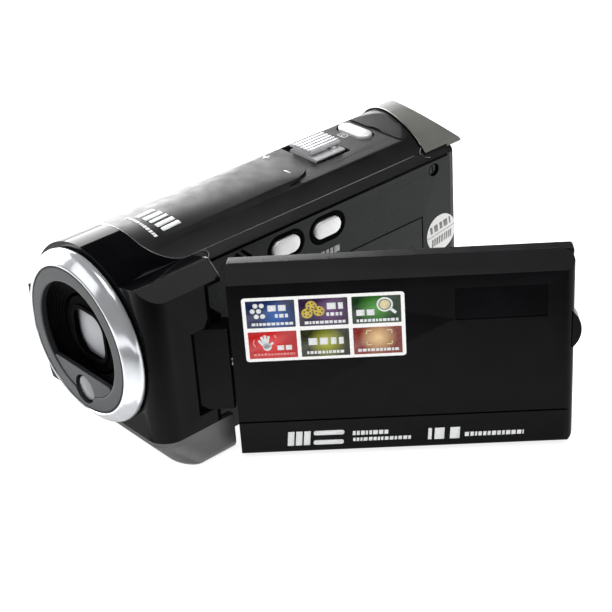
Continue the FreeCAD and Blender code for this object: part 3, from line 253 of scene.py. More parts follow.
def wire(name, points, radius):
    """A thin round strip along a line of points."""
    sides = 6
    path = [Vector(point) for point in points]
    loops = []
    for index, point in enumerate(path):
        along = (path[min(index + 1, len(path) - 1)] - path[max(index - 1, 0)]).normalized()
        across = along.cross(Vector((0.3, 0.2, 1))).normalized()
        up = across.cross(along)
        angles = [2 * math.pi * side / sides for side in range(sides)]
        loops.append([point + radius * (across * math.cos(angle) + up * math.sin(angle)) for angle in angles])
    return loops_mesh(name, loops, closed=False)


def smooth_path(corners, steps=8):
    """Points on a smooth curve through the given ones."""
    path = []
    ends = [corners[0]] + list(corners) + [corners[-1]]
    for before, here, after, beyond in zip(ends, ends[1:], ends[2:], ends[3:]):
        for step in range(steps):
            t = step / steps
            path.append(tuple(0.5 * (2 * b + (c - a) * t + (2 * a - 5 * b + 4 * c - d) * t * t +
                                     (3 * b - a - 3 * c + d) * t ** 3)
                              for a, b, c, d in zip(before, here, after, beyond)))
    path.append(tuple(corners[-1]))
    return path


def soften(piece, width=0.3, segments=3, angle=32):
    """Rounds the edges for good, and keeps the flat faces shading flat."""
    bevel = piece.modifiers.new("round", "BEVEL")
    bevel.width = width * MM
    bevel.segments = segments
    bevel.limit_method = "ANGLE"
    bevel.angle_limit = math.radians(angle)
    bevel.use_clamp_overlap = True
    bevel.miter_outer = "MITER_ARC"
    normal = piece.modifiers.new("even", "WEIGHTED_NORMAL")
    normal.keep_sharp = False
    normal.weight = 100
    return piece


def combine(piece, operation, tool):
    """Cuts the tool out of a piece, or joins it to the piece."""
    boolean = piece.modifiers.new("combine", "BOOLEAN")
    boolean.operation = operation
    boolean.solver = "EXACT"
    boolean.object = tool
    settle(piece)
    bpy.data.objects.remove(tool)


def settle(piece):
    """Turns the piece's modifiers into its own mesh."""
    bpy.context.view_layer.update()
    shown = piece.evaluated_get(bpy.context.evaluated_depsgraph_get())
    mesh = bpy.data.meshes.new_from_object(shown)
    piece.modifiers.clear()
    piece.data = mesh


def place(piece, body, slot, material, *nodes, on_screen=False):
    """Gives a piece its material and body, and hides the CAD nodes that it stands for; the slot is not used.
    """
    if on_screen:
        piece.data.transform(swing())
    piece.data.materials.clear()
    piece.data.materials.append(material)
    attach(piece, body)
    if nodes:
        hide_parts(*nodes)
    return piece


# ---- materials -----------------------------------------------------------------------------------

def shader(name, **settings):
    """A new material whose shader takes plain values by socket name."""
    material = bpy.data.materials.new(name)
    material.use_nodes = True
    bsdf = material.node_tree.nodes["Principled BSDF"]
    for socket, setting in settings.items():
        bsdf.inputs[socket.replace("_", " ")].default_value = setting
    return material, material.node_tree, bsdf


def noise(tree, scale, detail, roughness=0.5):
    """A cloudy value that is fixed to the piece."""
    coords = tree.nodes.new("ShaderNodeTexCoord")
    texture = tree.nodes.new("ShaderNodeTexNoise")
    texture.inputs["Scale"].default_value = scale
    texture.inputs["Detail"].default_value = detail
    texture.inputs["Roughness"].default_value = roughness
    tree.links.new(coords.outputs["Object"], texture.inputs["Vector"])
    return texture.outputs["Fac"]


def spread(tree, source, low, high, start=0.3, stop=0.7):
    """Maps a texture value to a range."""
    mapped = tree.nodes.new("ShaderNodeMapRange")
    mapped.inputs["From Min"].default_value = start
    mapped.inputs["From Max"].default_value = stop
    mapped.inputs["To Min"].default_value = low
    mapped.inputs["To Max"].default_value = high
    tree.links.new(source, mapped.inputs["Value"])
    return mapped.outputs["Result"]


def blend_colours(tree, factor, first, second):
    """A colour that goes from the first to the second with a value."""
    mix = tree.nodes.new("ShaderNodeMix")
    mix.data_type = "RGBA"
    mix.inputs["A"].default_value = (*first, 1)
    mix.inputs["B"].default_value = (*second, 1)
    tree.links.new(factor, mix.inputs["Factor"])
    return mix.outputs["Result"]


def bump(tree, height, strength, distance):
    """Fine relief from a value."""
    node = tree.nodes.new("ShaderNodeBump")
    node.inputs["Strength"].default_value = strength
    node.inputs["Distance"].default_value = distance
    tree.links.new(height, node.inputs["Height"])
    return node.outputs["Normal"]


def wear_and_highlight_edges(tree):
    """Where the surface bulges most, which is along the edges; these are made paler for wear and as a painted
    highlight.
    """
    geometry = tree.nodes.new("ShaderNodeNewGeometry")
    return spread(tree, geometry.outputs["Pointiness"], 0, 1, 0.515, 0.56)


def plastic(name, colour, roughness, grain=0.0, grain_scale=9000, vary=0.25, edge=0.35, **settings):
    """Moulded plastic: cloudy colour, uneven gloss, moulded grain, and paler edges that are partly wear and
    partly a painted highlight.
    """
    material, tree, bsdf = shader(name, **settings)
    pale = tuple(min(1, channel * (1 + vary) + 0.001) for channel in colour)
    dark = tuple(channel * (1 - vary) for channel in colour)
    cloud = blend_colours(tree, spread(tree, noise(tree, 120, 4), 0, 1), dark, pale)
    mix = tree.nodes.new("ShaderNodeMix")
    mix.data_type = "RGBA"
    # Paler colour along the edges: partly wear, partly a painted highlight.
    worn_and_lit = tuple(channel * 1.4 + 0.02 for channel in colour)
    mix.inputs["B"].default_value = (*worn_and_lit, 1)
    tree.links.new(cloud, mix.inputs["A"])
    edge_share = tree.nodes.new("ShaderNodeMath")
    edge_share.operation = "MULTIPLY"
    edge_share.inputs[1].default_value = edge
    tree.links.new(wear_and_highlight_edges(tree), edge_share.inputs[0])
    tree.links.new(edge_share.outputs[0], mix.inputs["Factor"])
    tree.links.new(mix.outputs["Result"], bsdf.inputs["Base Color"])
    uneven = spread(tree, noise(tree, 300, 5), roughness * 0.85, roughness * 1.15)
    tree.links.new(uneven, bsdf.inputs["Roughness"])
    if grain:
        tree.links.new(bump(tree, noise(tree, grain_scale, 2), grain, 0.00002), bsdf.inputs["Normal"])
    return material


def metal(name, colour, roughness, strength=0.03, share=1.0):
    """Bright or satin metal with fine marks; a share below 1 is metal paint."""
    material, tree, bsdf = shader(name, Metallic=share)
    pale = tuple(min(1, channel * 1.04) for channel in colour)
    dark = tuple(channel * 0.93 for channel in colour)
    tint = blend_colours(tree, spread(tree, noise(tree, 200, 4), 0, 1), dark, pale)
    tree.links.new(tint, bsdf.inputs["Base Color"])
    marks = noise(tree, 3500, 4, 0.6)
    tree.links.new(spread(tree, marks, roughness * 0.75, roughness * 1.3), bsdf.inputs["Roughness"])
    tree.links.new(bump(tree, marks, strength, 0.00001), bsdf.inputs["Normal"])
    return material


def ink(name, colour, roughness=0.45):
    """Printed ink with slightly uneven cover."""
    material, tree, bsdf = shader(name)
    pale = tuple(min(1, channel * 1.06) for channel in colour)
    dark = tuple(channel * 0.86 for channel in colour)
    tint = blend_colours(tree, spread(tree, noise(tree, 2500, 4), 0, 1), dark, pale)
    tree.links.new(tint, bsdf.inputs["Base Color"])
    uneven = spread(tree, noise(tree, 900, 3), roughness * 0.8, roughness * 1.2)
    tree.links.new(uneven, bsdf.inputs["Roughness"])
    return material


def cell_colour(name, dark, bright, middle):
    """Printed picture ground that glows towards one point of its cell."""
    reach = 4.6 * MM
    material, tree, bsdf = shader(name, Roughness=0.3)
    coords = tree.nodes.new("ShaderNodeTexCoord")
    mapping = tree.nodes.new("ShaderNodeMapping")
    mapping.inputs["Location"].default_value = [-part / reach for part in middle]
    mapping.inputs["Scale"].default_value = (1 / reach,) * 3
    tree.links.new(coords.outputs["Object"], mapping.inputs["Vector"])
    ball = tree.nodes.new("ShaderNodeTexGradient")
    ball.gradient_type = "SPHERICAL"
    tree.links.new(mapping.outputs["Vector"], ball.inputs["Vector"])
    speckle = tree.nodes.new("ShaderNodeMath")
    speckle.operation = "MULTIPLY_ADD"
    speckle.inputs[1].default_value = 0.25
    tree.links.new(noise(tree, 1800, 3), speckle.inputs[0])
    tree.links.new(ball.outputs["Fac"], speckle.inputs[2])
    tree.links.new(blend_colours(tree, spread(tree, speckle.outputs[0], 0, 1, 0.1, 1.05), dark, bright),
                   bsdf.inputs["Base Color"])
    return material


def glass(name, tint):
    """Coated lens glass."""
    material, tree, bsdf = shader(name, Roughness=0.03, IOR=1.6, Transmission_Weight=0.85, Coat_Weight=0.6)
    pale = tuple(min(1, channel * 1.1) for channel in tint)
    cloud = blend_colours(tree, spread(tree, noise(tree, 250, 3), 0, 1), tint, pale)
    tree.links.new(cloud, bsdf.inputs["Base Color"])
    return material


GLOSS = plastic("piano_black", (0.0008, 0.0009, 0.0014), 0.05, vary=0.3, edge=0.12, IOR=1.17)
PANEL = plastic("panel_black", (0.0009, 0.0010, 0.0016), 0.08, vary=0.3, edge=0.25, IOR=1.15)
GRAPHITE = plastic("graphite_matte", (0.0045, 0.0045, 0.005), 0.40, grain=0.35, edge=0.5, IOR=1.42)
CAP_MATTE = plastic("cap_matte", (0.11, 0.11, 0.101), 0.36, grain=0.4, edge=0.5, IOR=1.65)
SATIN = plastic("side_satin", (0.0040, 0.0054, 0.0063), 0.30, edge=0.45, IOR=1.26)
# A paler matte whose tone is a painted highlight along the deck's edge.
DECK_EDGE_HIGHLIGHT = plastic("deck_edge_painted_highlight", (0.016, 0.016, 0.017), 0.45, grain=0.35, edge=0.5, IOR=1.45)
BASE = plastic("base_matte", (0.062, 0.062, 0.062), 0.42, grain=0.5, grain_scale=6000, edge=0.4)
REAR = plastic("rear_satin", (0.010, 0.010, 0.010), 0.34, grain=0.2)
DARK = plastic("flat_black", (0.0003, 0.0003, 0.0004), 0.6, grain=0.2, edge=0.0, IOR=1.07)
BEZEL = plastic("bezel_satin", (0.006, 0.006, 0.007), 0.3, grain=0.15, IOR=1.35)
GREY_BUTTON = plastic("grey_button", (0.10, 0.10, 0.105), 0.3, grain=0.1)
RED_BUTTON = plastic("record_red", (0.35, 0.012, 0.012), 0.25, grain=0.1, Coat_Weight=0.3)
CIRCUIT = plastic("circuit_green", (0.012, 0.08, 0.03), 0.3, grain=0.2)
CELL_SLEEVE = plastic("battery_sleeve", (0.03, 0.035, 0.05), 0.3, grain=0.1)
SCREEN = plastic("screen_dark", (0.006, 0.0065, 0.009), 0.05, vary=0.15, edge=0.0, Coat_Weight=1.0,
                 Coat_Roughness=0.02)
CHROME = metal("chrome", (0.72, 0.74, 0.77), 0.15, share=0.68)
BRIGHT_KEY = metal("bright_key", (0.99, 0.99, 0.99), 0.45, strength=0.02, share=0.5)
TRIM = metal("trim_grey", (0.033, 0.035, 0.038), 0.42, strength=0.1, share=0.5)
PLATE = metal("plate_grey", (0.030, 0.032, 0.036), 0.42, strength=0.1, share=0.6)
STEEL = metal("steel", (0.5, 0.5, 0.51), 0.28, strength=0.1)
BLACK_STEEL = metal("black_steel", (0.035, 0.035, 0.037), 0.3, strength=0.1)
BRASS = metal("brass", (0.7, 0.5, 0.22), 0.25, strength=0.1)
GLASS = glass("coated_glass", (0.72, 0.76, 0.82))
PEARL = plastic("pearl_glass", (0.36, 0.37, 0.39), 0.5, vary=0.1, edge=0.0, IOR=1.25, Coat_Weight=0.08,
                Coat_Roughness=0.1)
WHITE_INK = ink("white_ink", (0.78, 0.79, 0.80))
GREY_INK = ink("grey_ink", (0.46, 0.47, 0.48))
LABEL_INK = ink("label_ink", (0.10, 0.10, 0.10))
LAMP = plastic("lamp_lens", (0.10, 0.105, 0.11), 0.2, vary=0.1, edge=0.0, Coat_Weight=0.3)
GOLD_INK = ink("gold_ink", (0.62, 0.45, 0.05))
PINK_INK = ink("pink_ink", (0.80, 0.28, 0.26))
LEMON_INK = ink("lemon_ink", (0.72, 0.62, 0.38))
LABEL_GREY = ink("label_grey", (0.25, 0.25, 0.25))
LEVER_METAL = metal("lever_metal", (0.90, 0.90, 0.92), 0.16, strength=0.03, share=0.55)
PAPER = ink("label_paper", (0.93, 0.93, 0.92), 0.55)
# Pale metal for the thin lines that stand for painted highlights along edges.
HIGHLIGHT_LINE_PAINT = metal("painted_highlight_line", (0.42, 0.42, 0.41), 0.35)

# The material and the edge rounding of the CAD nodes, by their material slot.
SLOT_LOOKS = {
    "chrome": (CHROME, 0.15),
    "trim": (TRIM, 0.12),
    "gloss_black": (GLOSS, 0.35),
    "graphite": (GRAPHITE, 0.3),
    "side_black": (SATIN, 0.25),
    "base_black": (BASE, 0.5),
    "rear_black": (REAR, 0.3),
    "lens_black": (DARK, 0.1),
    "glass": (GLASS, 0.1),
    "screen": (SCREEN, 0.1),
    "bezel": (BEZEL, 0.25),
    "steel": (STEEL, 0.08),
    "brass": (BRASS, 0.1),
    "circuit": (CIRCUIT, 0.1),
    "battery": (CELL_SLEEVE, 0.3),
    "button_grey": (GREY_BUTTON, 0.2),
    "record_red": (RED_BUTTON, 0.25),
    "sticker": (PAPER, 0.0),
}

# The CAD nodes that look different from the rest of their slot.
NODE_LOOKS = {
    "panel_shell": PANEL,
    "rear_cap": CAP_MATTE,
    "strap_lug": GLOSS,
    "case_screws": BLACK_STEEL,
    "speaker": DARK,
    "front_lens": PEARL,
}


# ---- carried-over CAD nodes ----------------------------------------------------------------------

def dress_nodes():
    """Gives every CAD node its material and, by modifiers, rounded edges."""
    slots = {row["node"]: row["material_slot"] for row in frame["record"]["subparts"]}
    for node, piece in frame["nodes"].items():
        material, width = SLOT_LOOKS[slots[node]]
        piece.data.materials.clear()
        piece.data.materials.append(NODE_LOOKS.get(node, material))
        piece.data.shade_smooth()
        weld = piece.modifiers.new("weld", "WELD")
        weld.merge_threshold = 0.000002
        flat = piece.modifiers.new("flat", "DECIMATE")
        flat.decimate_type = "DISSOLVE"
        flat.angle_limit = math.radians(0.8)
        if width:
            soften(piece, width, 2)


# ---- lens group ----------------------------------------------------------------------------------

def lamp_hole(name):
    """A tool that cuts the lamp's window."""
    return prism(name, "y", circle(0, WINDOW_Z, WINDOW_RADIUS), FRONT - 1, FRONT + 3)


def ring_profile(*corners):
    """A profile whose places count from the front of the trim ring."""
    return [(FRONT + depth, radius) for depth, radius in corners]


def lens_group():
    """The bright ring, the trim ring, the plate with its lamp, and the stepped well round the lens."""
    ring = lathe("chrome_lens_ring", ring_profile(
        (1.8, 19.4), (0.1, 19.4), (-0.12, 19.55), (-0.2, 19.75), (-0.14, 19.95), (0.2, 20.4), (0.75, 21.1),
        (1.35, 21.8), (1.85, 22.35), (2.2, 22.65), (2.6, 22.85), (3.0, 22.95), (3.6, 22.9), (3.98, 22.6),
        (4.0, 21.1)))
    place(ring, "chassis", "chrome", CHROME, "chrome_ring")
    trim = lathe("satin_trim_ring", ring_profile(
        (1.6, 15.4), (0.35, 15.4), (0.12, 15.5), (0.02, 15.75), (0, 16.1), (0, 18.75), (0.05, 18.9),
        (0.3, 19.0), (0.3, 19.1), (0.02, 19.15), (0.2, 19.3), (1.6, 19.3)))
    combine(trim, "DIFFERENCE", lamp_hole("ring_window"))
    place(soften(trim, 0.1, 2, 40), "chassis", "trim", TRIM, "trim_ring")
    plate = prism("lens_plate", "y", plate_outline(), FRONT + 0.25, FRONT + 1.5)
    combine(plate, "DIFFERENCE", lamp_hole("plate_window"))
    place(soften(plate, 0.15, 2, 40), "chassis", "trim", PLATE, "sensor_plate")
    lamp = pillow("lamp_lens", "y", disc(0, WINDOW_Z, LAMP_RADIUS), LAMP_RADIUS, FRONT + 1.55, FRONT + 0.8,
                  0.35, 0.15)
    place(lamp, "chassis", "glass", LAMP, "lamp_window")
    steps = []
    for number in range(7):
        depth = FRONT + 1.6 + number * 0.4
        radius = PLATE_ROOM - number * 0.7
        steps += [(depth, radius), (depth + 0.3, radius - 0.08), (depth + 0.4, radius - 0.25)]
    behind = [(-53.6, 10.4), (-53.6, 11.2), (-52.6, 21.0), (-54.0, 21.0)]
    well = lathe("stepped_well", steps + behind + ring_profile((1.9, 19.3), (1.6, 19.3)))
    place(soften(well, 0.05, 1), "chassis", "lens_black", DARK, "lens_well")


def plate_outline():
    """The D-shaped plate under the lens: an arc that fits the trim ring, and a straight upper edge."""
    radius = PLATE_ROOM + 0.05
    reach = math.sqrt(PLATE_ROOM ** 2 - (LENS_Z - PLATE_TOP) ** 2)
    start = math.atan2(PLATE_TOP - 1.6 - LENS_Z, reach + 0.9)
    arc = [start - (math.pi + 2 * start) * step / 48 for step in range(49)]
    edge = [(radius * math.cos(angle), LENS_Z + radius * math.sin(angle)) for angle in arc]
    top = [(-reach + 0.35, PLATE_TOP - 0.5), (-reach + 1.1, PLATE_TOP), (reach - 1.1, PLATE_TOP),
           (reach - 0.35, PLATE_TOP - 0.5)]
    return edge + top


# ---- buttons and lever ---------------------------------------------------------------------------

def oval(across, up, length, width):
    """The outline of an oval button at any inset."""
    return lambda inset: stadium(across, up, length - 2 * inset, width - 2 * inset)


def disc(across, up, radius):
    """The outline of a round button at any inset."""
    return lambda inset: circle(across, up, radius - inset)


def side_keys():
    """The two bright keys on the left side, each in a dark surround."""
    for name, node, body, along in (("key_front", "menu_key", "menu", -4.3),
                                    ("key_rear", "display_key", "display", 9.6)):
        shape = oval(along, KEY_Z, *KEY_SIZE)
        key = pillow(name, "x", shape, KEY_SIZE[1] / 2, KEY_ROOT, WALL + 0.45, 0.45, 0.2)
        place(key, body, "chrome", BRIGHT_KEY, node)
        outer = stadium(along, KEY_Z, *SURROUND_OUTER)
        inner = stadium(along, KEY_Z, *SURROUND_INNER)
        rim = band(name + "_surround", "x", outer, inner, WALL - 0.3, WALL + 0.16)
        place(soften(rim, 0.12), "chassis", "gloss_black", DARK)


def photo_key():
    """The oval key on the deck."""
    shape = oval(*PHOTO_SPOT, *PHOTO_SIZE)
    key = pillow("photo_key", "z", shape, PHOTO_SIZE[1] / 2, DECK - 2.4, DECK + 0.85, 0.6, 0.3)
    place(key, "photo", "chrome", BRIGHT_KEY, "photo_button")


def zoom_key():
    """The rocker seen end on, pushed along the body: ribbed top, waist and chrome foot."""
    top = DECK + 2.25
    low = DECK + 1.3
    outline = [(-7.3, low), (-7.6, low + 0.3), (-7.5, top - 0.15)]
    for number in range(6):
        rib = -6.9 + number * 1.42
        outline += [(rib, top), (rib + 0.2, top + 0.28), (rib + 0.65, top + 0.28), (rib + 0.85, top)]
    outline += [(1.55, top - 0.15), (1.7, low + 0.35), (1.4, low), (0.3, low - 0.1), (-0.1, DECK + 0.75),
                (0.6, DECK + 0.45), (3.2, DECK + 0.3), (3.4, DECK + 0.05), (3.2, DECK - 0.5),
                (-7.4, DECK - 0.5), (-7.5, DECK), (-7.0, DECK + 0.4), (-6.2, DECK + 0.7), (-6.0, low - 0.1)]
    lever = prism("zoom_rocker", "y", outline, 19.0, 29.1)
    knob = pillow("zoom_knob", "z", disc(0.9, 27.0, 0.9), 0.9, DECK, DECK + 1.15, 0.5, 0.15)
    waist = [(-4.4, DECK - 0.45), (-1.4, DECK - 0.45), (-0.7, 46.0), (-1.8, 44.2), (-4.0, 44.2), (-5.1, 46.0)]
    stem = prism("zoom_stem", "y", waist, 21.0, 27.0)
    combine(lever, "UNION", knob)
    place(soften(lever, 0.07, 2, 28), "zoom", "chrome", LEVER_METAL, "zoom_lever")
    place(soften(stem, 0.2), "zoom", "chrome", STEEL)


def rear_keys():
    """The round record key and the two small ovals on the rear cover."""
    root = REAR_SEAM - 2.0
    top = REAR_FACE + 1.1
    shape = disc(*RECORD_SPOT, RECORD_RADIUS)
    record = pillow("record_key", "y", shape, RECORD_RADIUS, root, top, 0.5, 0.3)
    place(record, "record", "record_red", RED_BUTTON, "record_button")
    for name, node, height in (("mode_key", "mode_button", 39.0), ("power_key", "power_button", 24.0)):
        shape = oval(REAR_KEY_X, height, *REAR_KEY_SIZE)
        key = pillow(name, "y", shape, REAR_KEY_SIZE[1] / 2, root, top, 0.45, 0.2)
        place(key, node.split("_")[0], "button_grey", GREY_BUTTON, node)


# ---- marks ---------------------------------------------------------------------------------------

def row(span, up, seed, size=0.9, gap=0.28, slant=0.1, radius=0.08):
    """Outlines of a row of little blocks, in place of a line of small print."""
    rng = random.Random(seed)
    blocks = []
    start = span[0]
    while start < span[1] - 0.3:
        stop = min(start + size * rng.uniform(0.6, 1.3), span[1])
        blocks.append(slanted(start, stop, up[0], up[1], slant, radius))
        start = stop + gap * rng.uniform(0.8, 1.2)
    return blocks


def slanted(left, right, low, high, slant=0.0, radius=0.12):
    """The outline of a block whose top leans to the right."""
    return rounded([(left, low, radius), (right, low, radius), (right + slant, high, radius),
                    (left + slant, high, radius)], 3)


def stroke(start, end, width):
    """The outline of a short thick line."""
    start = Vector(start)
    end = Vector(end)
    aside = (end - start).normalized().orthogonal() * width / 2
    return [tuple(start + aside), tuple(start - aside), tuple(end - aside), tuple(end + aside)]


def on_panel(outlines):
    """Moves outlines drawn from the panel's hinge end and bottom edge to their place on its back."""
    return [[(PANEL_NEAR + along, PANEL_LOW + up) for along, up in outline] for outline in outlines]


def panel_print():
    """Plain blocks in place of the marks along the panel's bottom edge."""
    big = [slanted(left, left + 1.6, 2.2, 6.3, 0.4) for left in (11.5, 13.5, 15.5)]
    bars = [slanted(17.9, 25.4, 2.2, 3.5, 0.2, 0.5), slanted(18.1, 25.7, 5.0, 6.3, 0.2, 0.5)]
    small = row((27.8, 36.6), (4.6, 5.8), 3) + row((27.8, 42.1), (2.8, 3.8), 4, 0.8)
    spans = ((46.3, 47.2), (47.9, 50.3), (51.7, 54.1))
    large = [slanted(left, right, 2.4, 5.7, 0.25) for left, right in spans]
    last = row((55.4, 69.9), (2.9, 4.1), 6, 0.9, 0.3)
    outlines = on_panel(big + bars + small + large + last)
    print_piece = slabs("panel_print", "x", outlines, SIDE, SIDE + 0.05)
    place(print_piece, "screen", "sticker", WHITE_INK, on_screen=True)


def sticker_spot(along, down):
    """A place on the sticker, from its top left corner, as part lengths in Y and Z."""
    return STICKER_LEFT + along, STICKER_TOP - down


def cell_corner(number):
    """A cell's top left corner on the sticker, along and down; the cells lie in two rows of three."""
    along = CELL_MARGIN[0] + (number % 3) * CELL_STEP[0]
    down = CELL_MARGIN[1] + (number // 3) * CELL_STEP[1]
    return along, down


def cell_outlines(corner, shapes):
    """Outlines drawn from a cell's top left corner, along and down, moved to the sticker."""
    return [[sticker_spot(corner[0] + along, corner[1] + down) for along, down in shape] for shape in shapes]


def lines(width, *rows):
    """Rows of blocks in a cell: each row gives its span, its top and its height."""
    blocks = []
    for number, (left, right, down, height) in enumerate(rows):
        up = (down, down + height)
        blocks += row((left, right), up, 20 + number, width * height, 0.3 * height, 0.0, 0.05)
    return blocks


def ring_blocks(across, down, radius, count, size):
    """Small discs set round a circle."""
    return [circle(*spot, size, 12) for spot in circle(across, down, radius, count)]


def corner_brackets(left, right, high, low):
    """Four corner marks of a picture frame."""
    reach = 1.2
    width = 0.28
    marks = []
    for across, along in ((left, 1), (right, -1)):
        for down, drop in ((high, 1), (low, -1)):
            marks.append(stroke((across, down), (across + along * reach, down), width))
            start = down + drop * width * 0.6
            marks.append(stroke((across, start), (across, down + drop * reach * 0.8), width))
    return marks


def sticker_cells():
    """Each picture cell's name, its dark and bright colour, where it glows, and its signs by ink."""
    dots = [circle(across, down, 0.62, 16)
            for across, down in ((2.3, 1.3), (3.8, 1.3), (1.55, 2.75), (3.05, 2.75), (2.4, 4.2), (3.9, 4.2))]
    hubs = ((3.0, 1.9), (4.75, 3.4), (1.9, 3.9))
    reels = [circle(across, down, 1.35, 24) for across, down in hubs]
    holes = [hole for across, down in hubs for hole in ring_blocks(across, down, 0.75, 5, 0.24)]
    fingers = [stroke((4.2, 4.6), tip, 0.62) for tip in ((2.4, 2.3), (3.1, 1.3), (4.0, 0.9), (4.9, 1.2))]
    palm = [circle(4.4, 4.2, 1.05, 20), stroke((4.4, 4.4), (5.9, 3.0), 0.6)]
    waves = [stroke((1.5, 2.0), (1.1, 3.0), 0.3), stroke((1.1, 3.1), (1.6, 4.1), 0.3),
             stroke((6.3, 1.0), (6.7, 1.8), 0.3)]
    glass_disc = [circle(*MAGNIFIER, 1.25, 28)]
    handle = [stroke((9.2, 3.7), (10.4, 4.8), 0.75)]
    return [
        ("cell_dots", (0.004, 0.012, 0.06), (0.01, 0.10, 0.42), (7.2, 4.4),
         {"white": dots + lines(1.0, (5.2, 9.7, 1.3, 1.6), (6.8, 10.5, 3.7, 1.0), (1.1, 11.0, 6.0, 0.75))}),
        ("cell_reel", (0.018, 0.006, 0.035), (0.16, 0.06, 0.20), (7.5, 3.4),
         {"gold": reels,
          "dark": holes,
          "white": lines(1.0, (6.7, 10.5, 1.3, 1.7), (6.5, 10.2, 3.9, 0.9), (1.2, 10.9, 6.1, 0.75))}),
        ("cell_zoom", (0.004, 0.022, 0.006), (0.06, 0.30, 0.03), (5.5, 3.4),
         {"lens": glass_disc,
          "white": handle + lines(1.0, (1.0, 5.6, 3.6, 1.6), (1.0, 10.9, 6.2, 0.75))}),
        ("cell_hand", (0.50, 0.010, 0.012), (0.72, 0.03, 0.03), (5.8, 3.5),
         {"pale": waves + lines(1.0, (1.0, 11.0, 6.0, 0.6)),
          "white": fingers + palm + lines(1.0, (6.8, 11.0, 3.9, 1.3))}),
        ("cell_power", (0.010, 0.014, 0.005), (0.42, 0.44, 0.02), (6.2, 3.6),
         {"white": lines(0.9, (1.8, 10.2, 2.3, 1.9), (1.3, 10.7, 5.9, 0.8))}),
        ("cell_focus", (0.20, 0.012, 0.012), (0.80, 0.55, 0.26), (6.0, 3.0),
         {"lens": corner_brackets(3.2, 9.2, 0.9, 4.8),
          "white": lines(1.0, (1.0, 11.0, 5.9, 0.75))}),
    ]


def sticker():
    """The six-cell picture sticker: a white sheet, six coloured cells, and plain signs in each."""
    long, high = STICKER_SIZE
    outline = rectangle(STICKER_LEFT, STICKER_LEFT + long, STICKER_TOP - high, STICKER_TOP, 0.8)
    sheet = prism("sticker_sheet", "x", outline, SIDE, SIDE + 0.1)
    place(soften(sheet, 0.03, 1), "screen", "sticker", PAPER, "feature_sticker", on_screen=True)
    inks = {"white": WHITE_INK, "gold": GOLD_INK, "dark": LABEL_INK, "pale": PINK_INK, "lens": LEMON_INK}
    for number, (name, dark, bright, glow, signs) in enumerate(sticker_cells()):
        corner = cell_corner(number)
        ground = cell_outlines(corner, [rectangle(0, CELL_SIZE[0], 0, CELL_SIZE[1], 0.12)])
        middle = sticker_spot(corner[0] + glow[0], corner[1] + glow[1])
        spot = swing() @ (Vector((SIDE, *middle)) * MM)
        paint = cell_colour(name, dark, bright, spot)
        place(slabs(name, "x", ground, SIDE + 0.05, SIDE + 0.13), "screen", "sticker", paint, on_screen=True)
        for level, (colour, shapes) in enumerate(signs.items()):
            outlines = cell_outlines(corner, shapes)
            sign = slabs(f"{name}_{colour}", "x", outlines, SIDE + 0.08, SIDE + 0.16 + level * 0.02)
            place(sign, "screen", "sticker", inks[colour], on_screen=True)
    corner = cell_corner(2)
    spot = sticker_spot(corner[0] + MAGNIFIER[0], corner[1] + MAGNIFIER[1])
    outer = circle(*spot, 1.95, 32)
    inner = circle(*spot, 1.5, 32)
    rim = band("cell_zoom_rim", "x", outer, inner, SIDE + 0.08, SIDE + 0.17)
    place(rim, "screen", "sticker", WHITE_INK, on_screen=True)


def on_barrel(arc, along, level):
    """A place on the round top: arc is measured round it from its crown."""
    angle = arc / BARREL
    radius = BARREL + level
    return radius * math.sin(angle), along, LENS_Z + radius * math.cos(angle)


def on_nose(across, along, level):
    """A place on the slope that runs from the round top down to the deck."""
    slope = 57.6 - 0.087 * (along + 7.0)
    return across, along, min(top_height(across), slope) + level


def barrel_marks():
    """Plain blocks on the round top, a plus and a minus for the zoom, and a small sign on the deck."""
    big = [slanted(left, right, -34.6 + 0.14 * left, -29.0 + 0.14 * left, -0.3, 0.25)
           for left, right in ((-2.9, -1.3), (-0.4, 1.4), (1.9, 3.1), (3.9, 5.4), (5.9, 7.3))]
    small = row((-4.2, 8.4), (-36.9, -36.0), 11, 0.8)
    barrel_print = slabs("barrel_print", "z", big + small, 0.005, 0.06, on_barrel)
    place(barrel_print, "chassis", "sticker", WHITE_INK)
    minus = [stroke((2.6, 8.6), (5.0, 8.6), 0.55)]
    plus = [stroke((-8.7, 11.0), (-6.3, 11.0), 0.5), stroke((-7.5, 11.3), (-7.5, 12.2), 0.5),
            stroke((-7.5, 10.7), (-7.5, 9.8), 0.5)]
    zoom_print = slabs("zoom_print", "z", plus + minus, 0.01, 0.07, on_nose)
    place(zoom_print, "chassis", "sticker", WHITE_INK)
    signs = {
        "deck_sign": (rectangle(-5.4, -2.4, 33.9, 35.9, 0.3), rectangle(-5.1, -2.7, 34.2, 35.6, 0.2)),
        "deck_sign_lens": (circle(-3.9, 34.9, 0.55, 24), circle(-3.9, 34.9, 0.3, 24)),
    }
    for name, (outer, inner) in signs.items():
        sign = band(name, "z", outer, inner, DECK - 0.1, DECK + 0.04)
        place(sign, "chassis", "sticker", GREY_INK)


